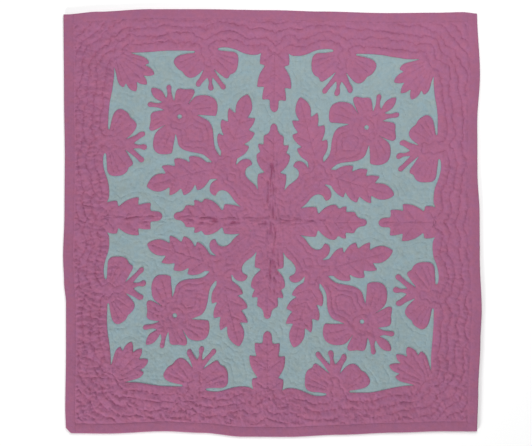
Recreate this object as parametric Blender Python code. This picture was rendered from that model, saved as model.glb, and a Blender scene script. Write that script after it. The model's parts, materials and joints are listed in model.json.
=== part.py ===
"""Hawaiian quilt, wall-hanging size, lying flat.

One quilted body carries two pieces of sewn-on cloth, the border and the medallion, and four
binding strips close its edges. Metres, +Z up, +X across, +Y towards the top edge. The origin is
the middle of the box that the quilt fills, on the surface that it lies on.
"""

import math
from collections import namedtuple

import bmesh
import bpy
from mathutils import Vector
from mathutils.geometry import delaunay_2d_cdt
from mathutils.kdtree import KDTree

# Driving dimensions
WIDTH = 1.070
HEIGHT = 1.092
BINDING_WIDTH = 0.025
FIELD = 0.420
STRETCH = Vector((1.0, 1.030))
PATTERN_CENTRE = Vector((-0.004, 0.0045))
PATTERN_TURN = math.radians(-1.3)

# Heights above the surface
REBATE = 0.0015
REBATE_SLOPE = 0.0040
SEAT = 0.0050
APPLIQUE_THICK = 0.0010
GAP = 0.0003
GROUND_PUFF = 0.0020
APPLIQUE_PUFF = 0.0020
BINDING_WALL = 0.0012
BESIDE = 0.0020
SLOT_PAST = 0.0040

# Quilting
PITCH = 0.0150
BORDER_PITCH = 0.0210
BORDER_ROWS = 18
BORDER_GRID = 0.0070
BINDING_CLEAR = 0.0070
LINE_STEP = 0.040
LINE_SLACK = 0.0020
ECHO_ROWS = 6
CROWN_STEP = 0.036
CROWN_SPREAD = 0.0165
FIRST_ROW_SPREAD = 0.0205
ROW_SLACK = 0.0020
CROWDED = 0.0080
SOURCE_STEP = 0.004

# How the outline curves are divided
CURVE_STEPS = 2
ROUND_STEPS = 2
FLOW_STEP = 0.010
DISC_STEPS = 12
SHORTEST_EDGE = 0.0026
NEAR = 1e-6

# Handwork: how far each place of the sewn design lies from where folding and cutting put it
Stray = namedtuple("Stray", "across_mm up_mm right_mm higher_mm")
STRAYS = [
    Stray(0, 0, 0, 0), Stray(-245, 245, 5, 14), Stray(245, 245, -2, -5),
    Stray(-245, -245, 4, 2), Stray(245, -245, -2, -3), Stray(0, 251, 6, -8),
    Stray(0, -251, 0, 8), Stray(-251, 0, 2, 5), Stray(251, 0, -2, 1),
    Stray(-178, 420, 3, 4), Stray(178, 420, 5, 7), Stray(420, 178, 10, 20),
    Stray(420, -178, 10, -2), Stray(178, -420, 7, -9), Stray(-178, -420, -10, -2),
    Stray(-420, -178, 2, -9), Stray(-420, 178, -7, 14), Stray(-420, 420, 4, -2),
    Stray(420, 420, -3, -3), Stray(-420, -420, 13, 4), Stray(420, -420, 8, 13),
    Stray(-90, 280, 7, -1), Stray(90, 280, -8, -8), Stray(-90, -280, -5, 4),
    Stray(90, -280, -13, 5), Stray(-280, -90, 2, 15), Stray(280, -90, -4, 4),
    Stray(280, 90, -3, -5), Stray(-280, 90, -6, 15), Stray(350, 0, 7, 8),
    Stray(-350, 0, -2, -3), Stray(0, -350, 6, -5),
]
STRAY_SPREAD = 0.090
STRAY_FLOOR = 0.08

EYELET_RADIUS = 0.0062
EYELET_STEPS = 6

# Edges: a turned-in corner, and how finely each edge is divided
CHAMFER = 0.014
CHAMFER_LOSS = 0.6
CHAMFER_LEAST = 0.002
CHAMFER_LEAN = 0.9
EDGE_STATIONS = 12
CORNER_PASSES = 4

Bulge = namedtuple("Bulge", "share out_mm")
EDGES = {
    "left": [
        Bulge(0.00, -2.5), Bulge(0.06, -0.5), Bulge(0.20, -2.5), Bulge(0.31, -2.5),
        Bulge(0.36, 2.5), Bulge(0.42, 5.0), Bulge(0.52, 1.5), Bulge(0.66, 0.5),
        Bulge(0.80, 2.5), Bulge(1.00, 4.0),
    ],
    "right": [
        Bulge(0.00, -5.0), Bulge(0.10, -2.0), Bulge(0.22, 3.5), Bulge(0.29, 7.0),
        Bulge(0.42, 2.0), Bulge(0.52, 1.5), Bulge(0.62, -4.0), Bulge(0.74, -4.5),
        Bulge(0.85, 2.5), Bulge(1.00, -5.0),
    ],
    "bottom": [
        Bulge(0.00, -2.0), Bulge(0.10, -1.0), Bulge(0.24, -7.0), Bulge(0.33, -3.0),
        Bulge(0.43, 7.0), Bulge(0.54, 7.5), Bulge(0.66, 2.0), Bulge(0.80, -3.5),
        Bulge(0.91, -7.0), Bulge(1.00, -6.5),
    ],
    "top": [
        Bulge(0.00, -7.5), Bulge(0.08, -0.5), Bulge(0.20, 6.0), Bulge(0.32, 6.0),
        Bulge(0.50, 3.5), Bulge(0.62, 0.0), Bulge(0.78, -4.0), Bulge(0.90, -3.0),
        Bulge(0.96, -1.5), Bulge(1.00, -5.5),
    ],
}

# Cut pieces of the design, in millimetres across and along each one
Lobe = namedtuple("Lobe", "notch_out notch_along tip_out tip_along")
Leaf = namedtuple(
    "Leaf", "lobes neck_out neck_along bulb_out bulb_along cheek_out cheek_along length"
)
LOBE_FULLNESS = 1.04
LOBE_BELLY = 0.45
LOBE_HOLLOW = 0.0020
LEAF_ROOT = Vector((0.001, 0.022))
RIB_STOP = 0.016
VEIN_ROOT = 0.75
VEIN_TIP = Vector((0.70, 0.24))
AXIS_LEAF = Leaf(
    [
        Lobe(33, 76, 37, 120), Lobe(20, 125, 45, 172),
        Lobe(34, 179, 41, 199), Lobe(26, 197, 27, 220),
    ],
    15, 226, 10, 238, 9.5, 249, 251,
)
SPRAY_LEAF = Leaf(
    [Lobe(21, 12, 42, 53), Lobe(27, 53, 45, 90), Lobe(27, 91, 36, 125)],
    16, 118, 21, 142, 18, 162, 174,
)
SPRAY_BEND = 0.0015
SPRAY_ROOT_LEAN = 0.006
SPRAY_ROOT = (0.020, 0.030)
BORDER_LEAF = Leaf(
    [Lobe(29, -14, 40, 26), Lobe(26, 29, 47, 82), Lobe(28, 80, 33, 112)],
    13, 111, 12, 126, 11.5, 138, 141,
)

Soft = namedtuple("Soft", "across_mm along_mm")
Sharp = namedtuple("Sharp", "across_mm along_mm")
ARM = [
    Sharp(0, 0), Sharp(30, 0), Soft(30, 70), Soft(33, 95), Soft(31, 115), Soft(32, 128),
    Soft(38, 138), Soft(48, 143), Sharp(63, 139), Soft(67, 151), Soft(61, 162), Soft(48, 168),
    Sharp(30, 166), Sharp(26, 186), Sharp(14, 200), Sharp(13, 215),
]
SPRAY_ALONG = 0.1916
SPRAY_ASIDE = 0.0225
SPRAY_HEADING = math.radians(61.5)
BLOOM_ALONG = 0.346
HUB = 0.080

Spot = namedtuple("Spot", "across_mm along_mm")
BLOOM_POD = [Sharp(0, 105), Soft(8, 95), Soft(12, 81), Soft(10, 68), Sharp(6, 57)]
BLOOM_PIN = [
    Soft(16, 62), Soft(23, 70.5), Soft(28, 79), Soft(36, 80), Soft(39, 72), Soft(32.5, 65),
    Soft(24, 54), Sharp(17, 38),
]
BLOOM_OUTER_PETAL = [
    Soft(33, 50), Soft(44, 55), Soft(52, 51), Soft(59, 42), Soft(68, 35), Soft(76, 27),
    Soft(72, 19.5), Sharp(38, 8),
]
BLOOM_SIDE_PETAL = [
    Soft(54, 10.5), Soft(69, 10.5), Soft(83, 3), Soft(95, -9), Soft(101, -24), Soft(97, -37),
    Soft(85, -50), Sharp(73, -57), Soft(55, -41), Sharp(36, -25),
]
BLOOM_THROAT = [
    Soft(42, -38), Soft(49, -53), Soft(47, -69), Soft(38, -85), Soft(26, -100), Soft(16, -117),
    Sharp(12, -145),
]
BLOOM_LINES = [
    [Spot(46, -2), Spot(82, -12)], [Spot(45, -14), Spot(78, -32)],
    [Spot(30, 32), Spot(56, 39)], [Spot(36, 23), Spot(62, 27)],
]

HALF_BLOOM_ASIDE = 0.178
HALF_BLOOM_LEAN = math.radians(6.0)
HALF_BLOOM_CORNER_PETAL = [
    Sharp(29, -14), Sharp(30, 3), Soft(54, 4), Soft(76, 8), Soft(87, 19), Soft(83, 33),
    Soft(76, 43), Sharp(67, 48), Soft(61, 59), Soft(49, 67), Soft(33, 63), Sharp(11, 46),
]
HALF_BLOOM_PINS = [
    Soft(18, 58), Soft(26, 70), Soft(34, 78), Soft(35, 88), Soft(27, 91), Soft(21.5, 84),
    Soft(15, 77), Sharp(4, 67), Soft(1.5, 81), Soft(5, 91), Soft(3.5, 99), Soft(-3, 101),
    Soft(-9, 96), Soft(-6, 83), Sharp(-9, 67), Soft(-17, 78), Soft(-25, 89), Soft(-29, 97),
    Soft(-37, 98), Soft(-40, 90), Soft(-33, 81), Soft(-25, 68), Sharp(-14, 47),
]
HALF_BLOOM_LEAF_PETAL = [
    Soft(-30, 61), Soft(-46, 72), Sharp(-55, 62), Soft(-65, 59), Soft(-74, 49), Soft(-79, 31),
    Soft(-79, 17), Soft(-72, 9), Soft(-50, 5), Sharp(-29, 1), Sharp(-29, -14),
]
HALF_LINES = [Spot(70, 24), Spot(66, 38), Spot(50, 53)]
HALF_LINE_START = 0.42

FAN = [
    Sharp(0, -30), Sharp(37, 17), Sharp(25, 27.5), Soft(34, 46), Soft(43, 62), Soft(47.5, 76),
    Sharp(46, 89), Sharp(32.5, 84), Soft(37, 97), Soft(37, 111), Sharp(32, 122),
    Soft(21, 114), Sharp(11.5, 101), Soft(8.5, 116), Sharp(0, 128.5),
]
FAN_LINES = [Spot(-46, 89), Spot(-32, 122), Spot(0, 128.5), Spot(32, 122), Spot(46, 89)]
FAN_LINE_SPAN = (0.30, 0.80)

Scallop = namedtuple("Scallop", "along_mm out_mm")
SCALLOPS = [
    Scallop(0, 2), Scallop(30, 4), Scallop(46, -4), Scallop(66, -5), Scallop(84, -2),
    Scallop(102, 5), Scallop(120, 9), Scallop(140, 9), Scallop(158, 4), Scallop(200, -1),
    Scallop(260, -1), Scallop(310, -2), Scallop(360, -4), Scallop(420, -5),
]

# Colours of the cloths, linear
ROSE = (0.376, 0.138, 0.246, 1.0)
ROSE_BINDING = (0.350, 0.128, 0.228, 1.0)
AQUA = (0.305, 0.392, 0.413, 1.0)
CLOTH_ROUGHNESS = 0.9


def mm(value):
    return value / 1000.0


def put(spot):
    """The point of a table's spot."""
    return Vector((mm(spot.across_mm), mm(spot.along_mm)))


def bow(start, control, end, steps=CURVE_STEPS):
    """Points of a curve from start to end, without its start."""
    points = []
    for i in range(1, steps + 1):
        t = i / steps
        points.append(start * (1 - t) ** 2 + control * (2 * t * (1 - t)) + end * t * t)
    return points


def mirrored(points):
    """The points and their mirror images across the along axis, as one closed outline."""
    return points + [Vector((-p.x, p.y)) for p in reversed(points) if abs(p.x) > NEAR]


def both_sides(turns):
    """The turns and their mirror images across the along axis, as one closed outline."""
    return turns + [
        type(turn)(-turn.across_mm, turn.along_mm) for turn in reversed(turns) if turn.across_mm
    ]


def flowing(turns):
    """The closed outline through some turns, curved at the soft ones and cornered at the rest."""
    places = [put(turn) for turn in turns]
    count = len(places)
    points = []
    for i, (start, turn) in enumerate(zip(places, turns)):
        end, after = places[(i + 1) % count], turns[(i + 1) % count]
        step = end - start
        lean_out, lean_in = step, step
        if isinstance(turn, Soft):
            lean_out = (end - places[i - 1]).normalized() * step.length
        if isinstance(after, Soft):
            lean_in = (places[(i + 2) % count] - start).normalized() * step.length
        points.append(start)
        if isinstance(turn, Soft) or isinstance(after, Soft):
            steps = max(1, round(step.length / FLOW_STEP))
            for k in range(1, steps):
                t = k / steps
                back = 1 - t
                points.append(
                    start * (back * back * (1 + 2 * t)) + lean_out * (t * back * back)
                    + end * (t * t * (3 - 2 * t)) - lean_in * (t * t * back)
                )
    return points


def leaf_side(leaf):
    """The right-hand edge of a leaf from its root to its tip: forward lobes, then the end lobe."""
    feet = [Vector((mm(lobe.notch_out), mm(lobe.notch_along))) for lobe in leaf.lobes]
    feet.append(Vector((mm(leaf.neck_out), mm(leaf.neck_along))))
    points = [feet[0]]
    for lobe, foot, next_foot in zip(leaf.lobes, feet, feet[1:]):
        tip = Vector((mm(lobe.tip_out), mm(lobe.tip_along)))
        belly = Vector((tip.x * LOBE_FULLNESS, foot.y + LOBE_BELLY * (tip.y - foot.y)))
        hollow = (tip + next_foot) / 2 + Vector((0, -LOBE_HOLLOW))
        points += bow(foot, belly, tip)
        points += bow(tip, hollow, next_foot)
    bulb = Vector((mm(leaf.bulb_out), mm(leaf.bulb_along)))
    cheek = Vector((mm(leaf.cheek_out), mm(leaf.cheek_along)))
    end = Vector((0, mm(leaf.length)))
    points += bow(points[-1], Vector((bulb.x, (points[-1].y + bulb.y) / 2)), bulb)
    points += bow(bulb, cheek, end, ROUND_STEPS)
    return points


def leaf_outline(leaf):
    """A whole leaf, with a root that runs back into what it grows from."""
    side = leaf_side(leaf)
    back = side[0] - Vector((LEAF_ROOT.x, LEAF_ROOT.y))
    return mirrored([Vector((0, back.y)), back] + side)


def leaf_channels(leaf):
    """Quilting inside a leaf: the midrib, and a vein to each lobe."""
    rib, veins = [], []
    for lobe in leaf.lobes:
        start = Vector((0, mm(lobe.tip_along - VEIN_ROOT * lobe.tip_out)))
        rib.append(start)
        for side in (-1, 1):
            out = side * mm(VEIN_TIP.x * lobe.tip_out)
            veins.append([start, Vector((out, mm(lobe.tip_along - VEIN_TIP.y * lobe.tip_out)))])
    rib.append(Vector((0, mm(leaf.length) - RIB_STOP)))
    return [rib] + veins


def bent(points, side):
    """Points of a spray leaf, whose tip leans to its bloom, and whose root leans away from it."""
    moved = []
    for p in points:
        tip = (max(p.y, 0.0) / mm(SPRAY_LEAF.length)) ** 2
        root = min(max((SPRAY_ROOT[0] - p.y) / SPRAY_ROOT[1], 0.0), 1.0)
        moved.append(Vector((p.x - side * (SPRAY_BEND * tip - SPRAY_ROOT_LEAN * root), p.y)))
    return moved


def circle(centre, radius, steps):
    return [
        centre + radius * Vector((math.cos(math.tau * i / steps), math.sin(math.tau * i / steps)))
        for i in range(steps)
    ]


def bloom():
    """Outline and quilting of a whole bloom, its middle at the origin."""
    half = BLOOM_POD + BLOOM_PIN + BLOOM_OUTER_PETAL + BLOOM_SIDE_PETAL + BLOOM_THROAT
    channels = []
    for line in BLOOM_LINES:
        channels += [[put(spot) * Vector((side, 1)) for spot in line] for side in (-1, 1)]
    return flowing(both_sides(half)), channels


def half_bloom():
    """Outline and quilting of a half bloom that grows inward from the field's edge."""
    channels = []
    for spot in HALF_LINES:
        for side in (-1, 1):
            end = put(spot) * Vector((side, 1))
            channels.append([end * HALF_LINE_START, end])
    return flowing(HALF_BLOOM_CORNER_PETAL + HALF_BLOOM_PINS + HALF_BLOOM_LEAF_PETAL), channels


def fan():
    """Outline and quilting of a corner fan, its root at the origin, inward along the diagonal."""
    channels = [[put(spot) * part for part in FAN_LINE_SPAN] for spot in FAN_LINES]
    return flowing(both_sides(FAN)), channels


def field_outline():
    """The edge of the ground's field: a square whose sides swell beside each half bloom."""
    points = []
    top = [Soft(s.along_mm, FIELD * 1000 + s.out_mm) for s in SCALLOPS[-2::-1]]
    top += [Soft(-s.across_mm, s.along_mm) for s in reversed(top[:-1])]
    for quarter in range(4):
        for turn in top:
            points.append(turned(Vector(turn), quarter))
        end = SCALLOPS[-1]
        corner_at = Vector((-end.along_mm, FIELD * 1000 + end.out_mm))
        points.append(turned(corner_at, quarter))
    turns = [Soft(*p) for p in points]
    for quarter in range(4):
        turns[(quarter + 1) * len(turns) // 4 - 1] = Sharp(*points[(quarter + 1) * len(turns) // 4 - 1])
    return flowing(turns)


def turned(point, quarter):
    """A design point after some quarter turns anticlockwise."""
    x, y = point
    for _ in range(quarter % 4):
        x, y = -y, x
    return Vector((x, y))


def settle(point):
    """Where a point of the design lies on the sewn quilt: strayed by hand, stretched and turned."""
    total, moved = STRAY_FLOOR, Vector((0.0, 0.0))
    for stray in STRAYS:
        away = (point - Vector((mm(stray.across_mm), mm(stray.up_mm)))).length / STRAY_SPREAD
        weight = math.exp(-away * away)
        total += weight
        moved += weight * Vector((mm(stray.right_mm), mm(stray.higher_mm)))
    x, y = point.x * STRETCH.x, point.y * STRETCH.y
    cos, sin = math.cos(PATTERN_TURN), math.sin(PATTERN_TURN)
    return Vector((cos * x - sin * y, sin * x + cos * y)) + moved / total + PATTERN_CENTRE


def placed(points, origin, heading, quarter, side=1):
    """Points of a piece, put at origin with its along axis at heading off +Y, then turned."""
    along = Vector((math.sin(heading), math.cos(heading)))
    across = Vector((along.y, -along.x)) * side
    return [
        settle(turned(origin + across * p.x + along * p.y, quarter)) for p in points
    ]


def medallion_pieces():
    """Outlines, holes and quilting of the medallion, on the quilt."""
    diagonal = math.radians(45)
    out = Vector((math.sin(diagonal), math.cos(diagonal)))
    aside = Vector((out.y, -out.x))
    shapes, holes, channels = [], [], []
    bloom_shape, bloom_channels = bloom()
    for quarter in range(4):
        middle = Vector((0.0, 0.0))
        shapes.append(placed(leaf_outline(AXIS_LEAF), middle, 0.0, quarter))
        channels += [placed(c, middle, 0.0, quarter) for c in leaf_channels(AXIS_LEAF)]
        shapes.append(placed(flowing(both_sides(ARM)), middle, diagonal, quarter))
        centre = out * BLOOM_ALONG
        eyelet = circle(centre, EYELET_RADIUS, EYELET_STEPS)
        shapes.append(placed(bloom_shape, centre, diagonal, quarter))
        channels += [placed(c, centre, diagonal, quarter) for c in bloom_channels]
        holes.append([settle(turned(p, quarter)) for p in eyelet])
        for side in (-1, 1):
            root = out * SPRAY_ALONG + aside * (side * SPRAY_ASIDE)
            heading = diagonal + side * SPRAY_HEADING
            for points in leaf_channels(SPRAY_LEAF):
                channels.append(placed(bent(points, side), root, heading, quarter))
            leaf = bent(leaf_outline(SPRAY_LEAF), side)
            shapes.append(placed(leaf, root, heading, quarter))
    shapes.append([settle(p) for p in circle(Vector((0.0, 0.0)), HUB, DISC_STEPS)])
    return shapes, holes, channels


def border_pieces():
    """Outlines and quilting of what grows inward from the border, on the quilt."""
    shapes, channels = [], []
    bloom_shape, bloom_channels = half_bloom()
    fan_shape, fan_channels = fan()
    for quarter in range(4):
        root = Vector((0.0, FIELD))
        shapes.append(placed(leaf_outline(BORDER_LEAF), root, math.pi, quarter))
        channels += [placed(c, root, math.pi, quarter) for c in leaf_channels(BORDER_LEAF)]
        for side in (-1, 1):
            root = Vector((side * HALF_BLOOM_ASIDE, FIELD))
            heading = math.pi + side * HALF_BLOOM_LEAN
            shapes.append(placed(bloom_shape, root, heading, quarter, -side))
            channels += [placed(c, root, heading, quarter, -side) for c in bloom_channels]
        root = Vector((FIELD, FIELD))
        heading = math.radians(225)
        shapes.append(placed(fan_shape, root, heading, quarter))
        channels += [placed(c, root, heading, quarter) for c in fan_channels]
    return shapes, channels


def anticlockwise(points):
    area = sum(p.x * q.y - q.x * p.y for p, q in zip(points, points[1:] + points[:1]))
    return points if area > 0 else points[::-1]


def triangulated(loops, lines=(), loose=()):
    """Triangles inside closed loops, with lines as edges and loose points as corners.

    Returns the points, and each triangle with the set of the loops that it lies in.
    """
    points, edges, faces = [], [], []
    for loop in loops:
        faces.append(list(range(len(points), len(points) + len(loop))))
        points += anticlockwise(loop)
    for line in lines:
        first = len(points)
        points += line
        edges += [(first + i, first + i + 1) for i in range(len(line) - 1)]
    points += loose
    made, _, triangles, _, _, origins = delaunay_2d_cdt(points, edges, faces, 1, NEAR)
    return made, [(tuple(t), set(o)) for t, o in zip(triangles, origins)]


def boundary_loops(triangles):
    """Closed loops of point numbers round a set of triangles."""
    directed = {(t[i], t[(i + 1) % len(t)]) for t in triangles for i in range(len(t))}
    following = {a: b for a, b in directed if (b, a) not in directed}
    loops = []
    while following:
        start, point = following.popitem()
        loop = [start]
        while point != start:
            loop.append(point)
            point = following.pop(point)
        loops.append(loop)
    return loops


def joined(shapes, holes=()):
    """Outlines of overlapping shapes, once joined and the holes cut out."""
    points, triangles = triangulated(list(shapes) + list(holes))
    count = len(shapes)
    kept = [t for t, origins in triangles if origins and max(origins) < count]
    outlines = []
    for loop in boundary_loops(kept):
        outline = [points[loop[0]]]
        for i in loop[1:]:
            if (points[i] - outline[-1]).length > SHORTEST_EDGE:
                outline.append(points[i])
        if (outline[-1] - outline[0]).length < SHORTEST_EDGE:
            outline.pop()
        outlines.append(outline)
    return sorted(outlines, key=len, reverse=True)


def bulge(side, share):
    """How far an edge stands out of the plain rectangle there, from its table."""
    rows = EDGES[side]
    share = min(max(share, 0.0), 1.0)
    for low, high in zip(rows, rows[1:]):
        if share <= high.share:
            t = (share - low.share) / (high.share - low.share)
            t = t * t * (3 - 2 * t)
            return mm(low.out_mm + t * (high.out_mm - low.out_mm))
    return mm(rows[-1].out_mm)


def edge_x(side, y, inset):
    sign = -1 if side == "left" else 1
    return sign * (WIDTH / 2 + bulge(side, y / HEIGHT + 0.5) - inset)


def edge_y(side, x, inset):
    sign = -1 if side == "bottom" else 1
    return sign * (HEIGHT / 2 + bulge(side, x / WIDTH + 0.5) - inset)


def corner(across, up, inset):
    """The corner where a side edge and a top or bottom edge meet."""
    x, y = edge_x(across, 0.0, inset), edge_y(up, 0.0, inset)
    for _ in range(CORNER_PASSES):
        x, y = edge_x(across, y, inset), edge_y(up, x, inset)
    return Vector((x, y))


def edge_line(side, inset):
    """One uneven edge of the quilt, some way in, from its left or bottom corner to the other."""
    if side in ("bottom", "top"):
        start, end = corner("left", side, inset), corner("right", side, inset)
    else:
        start, end = corner(side, "bottom", inset), corner(side, "top", inset)
    points = [start]
    for i in range(1, EDGE_STATIONS):
        point = start.lerp(end, i / EDGE_STATIONS)
        if side in ("bottom", "top"):
            point.y = edge_y(side, point.x, inset)
        else:
            point.x = edge_x(side, point.y, inset)
        points.append(point)
    return points + [end]


def at_x(line, x):
    """The point of a line that runs left to right where it passes x."""
    for low, high in zip(line, line[1:]):
        if x <= high.x:
            break
    return low.lerp(high, (x - low.x) / (high.x - low.x))


def at_y(line, y):
    """The point of a line that runs upwards where it passes y."""
    for low, high in zip(line, line[1:]):
        if y <= high.y:
            break
    return low.lerp(high, (y - low.y) / (high.y - low.y))


def turned_in(inset):
    """The two ends of the turned-in bottom left corner, on the bottom edge and on the left one."""
    cut = max(CHAMFER - CHAMFER_LOSS * inset, CHAMFER_LEAST)
    bottom, left = edge_line("bottom", inset), edge_line("left", inset)
    return at_x(bottom, bottom[0].x + CHAMFER_LEAN * cut), at_y(left, left[0].y + cut)


def rim(inset):
    """The quilt's uneven outline, some way in, anticlockwise from the turned-in corner."""
    low, high = turned_in(inset)
    bottom, right = edge_line("bottom", inset), edge_line("right", inset)
    top, left = edge_line("top", inset), edge_line("left", inset)
    return [low] + bottom[1:] + right[1:] + top[-2::-1] + left[-2:0:-1] + [high]


def seam_distances(seam, inside):
    """How far each point of a square grid lies from a closed seam, where it is inside."""
    sources = spaced(seam, SOURCE_STEP, True)
    near = KDTree(len(sources))
    for i, point in enumerate(sources):
        near.insert((*point, 0.0), i)
    near.balance()
    count = math.ceil(max(WIDTH, HEIGHT) / 2 / BORDER_GRID)
    distances = {}
    for i in range(-count, count + 1):
        for j in range(-count, count + 1):
            point = Vector((i, j)) * BORDER_GRID
            if inside(point):
                distances[i, j] = near.find((*point, 0.0))[2]
    return distances


def contours(distances, level):
    """Lines of a grid of distances that keep to one distance."""
    links = {}
    for i, j in distances:
        corners = [(i, j), (i + 1, j), (i + 1, j + 1), (i, j + 1)]
        if all(corner in distances for corner in corners):
            sides = [tuple(sorted(pair)) for pair in zip(corners, corners[1:] + corners[:1])]
            passed = [
                (a, b) for a, b in sides if (distances[a] < level) != (distances[b] < level)
            ]
            for one, other in zip(passed[::2], passed[1::2]):
                links.setdefault(one, []).append(other)
                links.setdefault(other, []).append(one)
    lines = []
    for start in sorted(links, key=lambda side: len(links[side])):
        chain = [start]
        while links[chain[-1]]:
            following = links[chain[-1]].pop()
            links[following].remove(chain[-1])
            chain.append(following)
        line = []
        for a, b in chain:
            share = (level - distances[a]) / (distances[b] - distances[a])
            line.append(Vector(a).lerp(Vector(b), share) * BORDER_GRID)
        if len(line) > 2:
            lines.append(thinned(line))
    return lines


def thinned(line):
    """A line with only the points that it needs to keep its shape."""
    kept, dropped = [line[0]], []
    for point, after in zip(line[1:], line[2:]):
        dropped.append(point)
        chord = after - kept[-1]
        off = max(abs(chord.cross(p - kept[-1])) for p in dropped) / chord.length
        if off > LINE_SLACK or chord.length > LINE_STEP:
            kept.append(point)
            dropped = []
    return kept + [line[-1]]


def border_rows(window, field):
    """Echo quilting of the border: lines that follow the field's seam out to the binding.

    Each is with whether it is a crown, and the last lies low beside the binding.
    """
    reach = rim(BINDING_WIDTH + BESIDE + BINDING_CLEAR)
    distances = seam_distances(window, lambda p: within(reach, p) and not within(field, p))
    rows = []
    for number in range(1, BORDER_ROWS + 1):
        for line in contours(distances, number * BORDER_PITCH / 2):
            rows.append((line, number % 2 == 1))
    last = rim(BINDING_WIDTH + BESIDE)
    return rows + [(last + last[:1], False)]


def spaced(points, step, closed):
    """Points along a line, no more than a step apart."""
    ends = points[1:] + points[:1] if closed else points[1:]
    made = []
    for start, end in zip(points, ends):
        count = max(1, math.ceil((end - start).length / step))
        made += [start.lerp(end, i / count) for i in range(count)]
    return made if closed else made + [points[-1]]


class Nearby:
    """Points in square bins, to find how far the nearest one is."""

    def __init__(self, size):
        self.size = size
        self.bins = {}

    def key(self, point):
        return math.floor(point.x / self.size), math.floor(point.y / self.size)

    def add(self, points):
        for point in points:
            self.bins.setdefault(self.key(point), []).append(point)

    def clear_of(self, point, distance):
        column, row = self.key(point)
        reach = math.ceil(distance / self.size)
        for i in range(column - reach, column + reach + 1):
            for j in range(row - reach, row + reach + 1):
                for other in self.bins.get((i, j), ()):
                    if (other - point).length < distance:
                        return False
        return True


def echo_points(loops, lines, inside):
    """Loose points on the echo rows between the seams and lines: crowns, then valleys, in turn.

    Each is set off a seam or line by a whole number of half pitches, and is kept where it lies
    inside, where nothing is nearer, and where no other point crowds it.
    """
    sources, taken = Nearby(PITCH), Nearby(PITCH)
    for loop in loops:
        sources.add(spaced(loop, SOURCE_STEP, True))
    for line in lines:
        sources.add(spaced(line, SOURCE_STEP, False))
    runs = [spaced(loop, CROWN_STEP / 2, True) for loop in loops]
    runs += [spaced(line, CROWN_STEP / 2, False) for line in lines]
    found = []
    for row in range(1, ECHO_ROWS + 1):
        distance = row * PITCH / 2
        apart = FIRST_ROW_SPREAD if row == 1 else CROWN_SPREAD
        this_row = Nearby(PITCH)
        for run in runs:
            for before, point, after in zip(run, run[1:], run[2:]):
                tangent = (after - before).normalized()
                for side in (-1, 1):
                    there = point + Vector((tangent.y, -tangent.x)) * (side * distance)
                    clear = inside(there) and sources.clear_of(there, distance - ROW_SLACK)
                    if clear and taken.clear_of(there, CROWDED) and this_row.clear_of(there, apart):
                        found.append((there, row % 2 == 1))
                        taken.add([there])
                        this_row.add([there])
    return found


def within(loop, point):
    """Whether a point lies inside a closed loop."""
    inside = False
    for a, b in zip(loop, loop[1:] + loop[:1]):
        if (a.y > point.y) != (b.y > point.y):
            if point.x < a.x + (point.y - a.y) / (b.y - a.y) * (b.x - a.x):
                inside = not inside
    return inside


def cloth(name, colour):
    material = bpy.data.materials.new(name + "_cotton")
    material.use_nodes = True
    surface = material.node_tree.nodes["Principled BSDF"]
    surface.inputs["Base Color"].default_value = colour
    surface.inputs["Roughness"].default_value = CLOTH_ROUGHNESS
    surface.inputs["Metallic"].default_value = 0.0
    return material


def finished(bm, name, colour, middle):
    """Closes a bmesh into a named object of its own cloth, parented to the quilt's middle."""
    bmesh.ops.triangulate(bm, faces=bm.faces)
    bmesh.ops.recalc_face_normals(bm, faces=bm.faces)
    mesh = bpy.data.meshes.new(name)
    bm.to_mesh(mesh)
    bm.free()
    mesh.materials.append(cloth(name, colour))
    obj = bpy.data.objects.new(name, mesh)
    obj.parent = middle
    bpy.context.scene.collection.objects.link(obj)
    return obj


def puffed_sheet(bm, points, triangles, heights, base, puff):
    """Faces of a quilted surface: low at its seams, and raised by puff at its crowns."""
    made = {}
    for triangle in triangles:
        corners = []
        for i in triangle:
            if i not in made:
                made[i] = bm.verts.new((points[i].x, points[i].y, base + puff * heights[i]))
            corners.append(made[i])
        bm.faces.new(corners)


def sewn_on(name, points, triangles, heights, middle):
    """A sewn-on cloth: a flat underside just off its seat, and a quilted top."""
    bm = bmesh.new()
    low = SEAT + GAP
    puffed_sheet(bm, points, triangles, heights, low + APPLIQUE_THICK, APPLIQUE_PUFF)
    rim_edges = [edge for edge in bm.edges if edge.is_boundary]
    side = bmesh.ops.extrude_edge_only(bm, edges=rim_edges)["geom"]
    for vert in side:
        if isinstance(vert, bmesh.types.BMVert):
            vert.co.z = low
    lower = [edge for edge in bm.edges if edge.is_boundary]
    bmesh.ops.triangle_fill(bm, edges=lower, use_beauty=True)
    return finished(bm, name, ROSE, middle)


def quilted_body(points, triangles, heights, middle):
    """The quilt sandwich: a quilted ground in the field, and a flat seat for what is sewn on."""
    bm = bmesh.new()
    puffed_sheet(bm, points, triangles, heights, SEAT, GROUND_PUFF)
    seams = [edge for edge in bm.edges if edge.is_boundary]
    outer = [bm.verts.new((*p, SEAT)) for p in rim(BINDING_WALL + GAP)]
    rim_edges = [bm.edges.new(pair) for pair in zip(outer, outer[1:] + outer[:1])]
    bmesh.ops.triangle_fill(bm, edges=seams + rim_edges, use_beauty=True)
    under = BINDING_WIDTH + BESIDE
    steps = [(BINDING_WALL + GAP, REBATE), (under, REBATE), (under + REBATE_SLOPE, 0.0)]
    loop = outer
    for inset, height in steps:
        lower = [bm.verts.new((*p, height)) for p in rim(inset)]
        for i, vert in enumerate(loop):
            j = (i + 1) % len(loop)
            bm.faces.new((vert, loop[j], lower[j], lower[i]))
        loop = lower
    bm.faces.new(loop)
    return finished(bm, "quilted_body", AQUA, middle)


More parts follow.
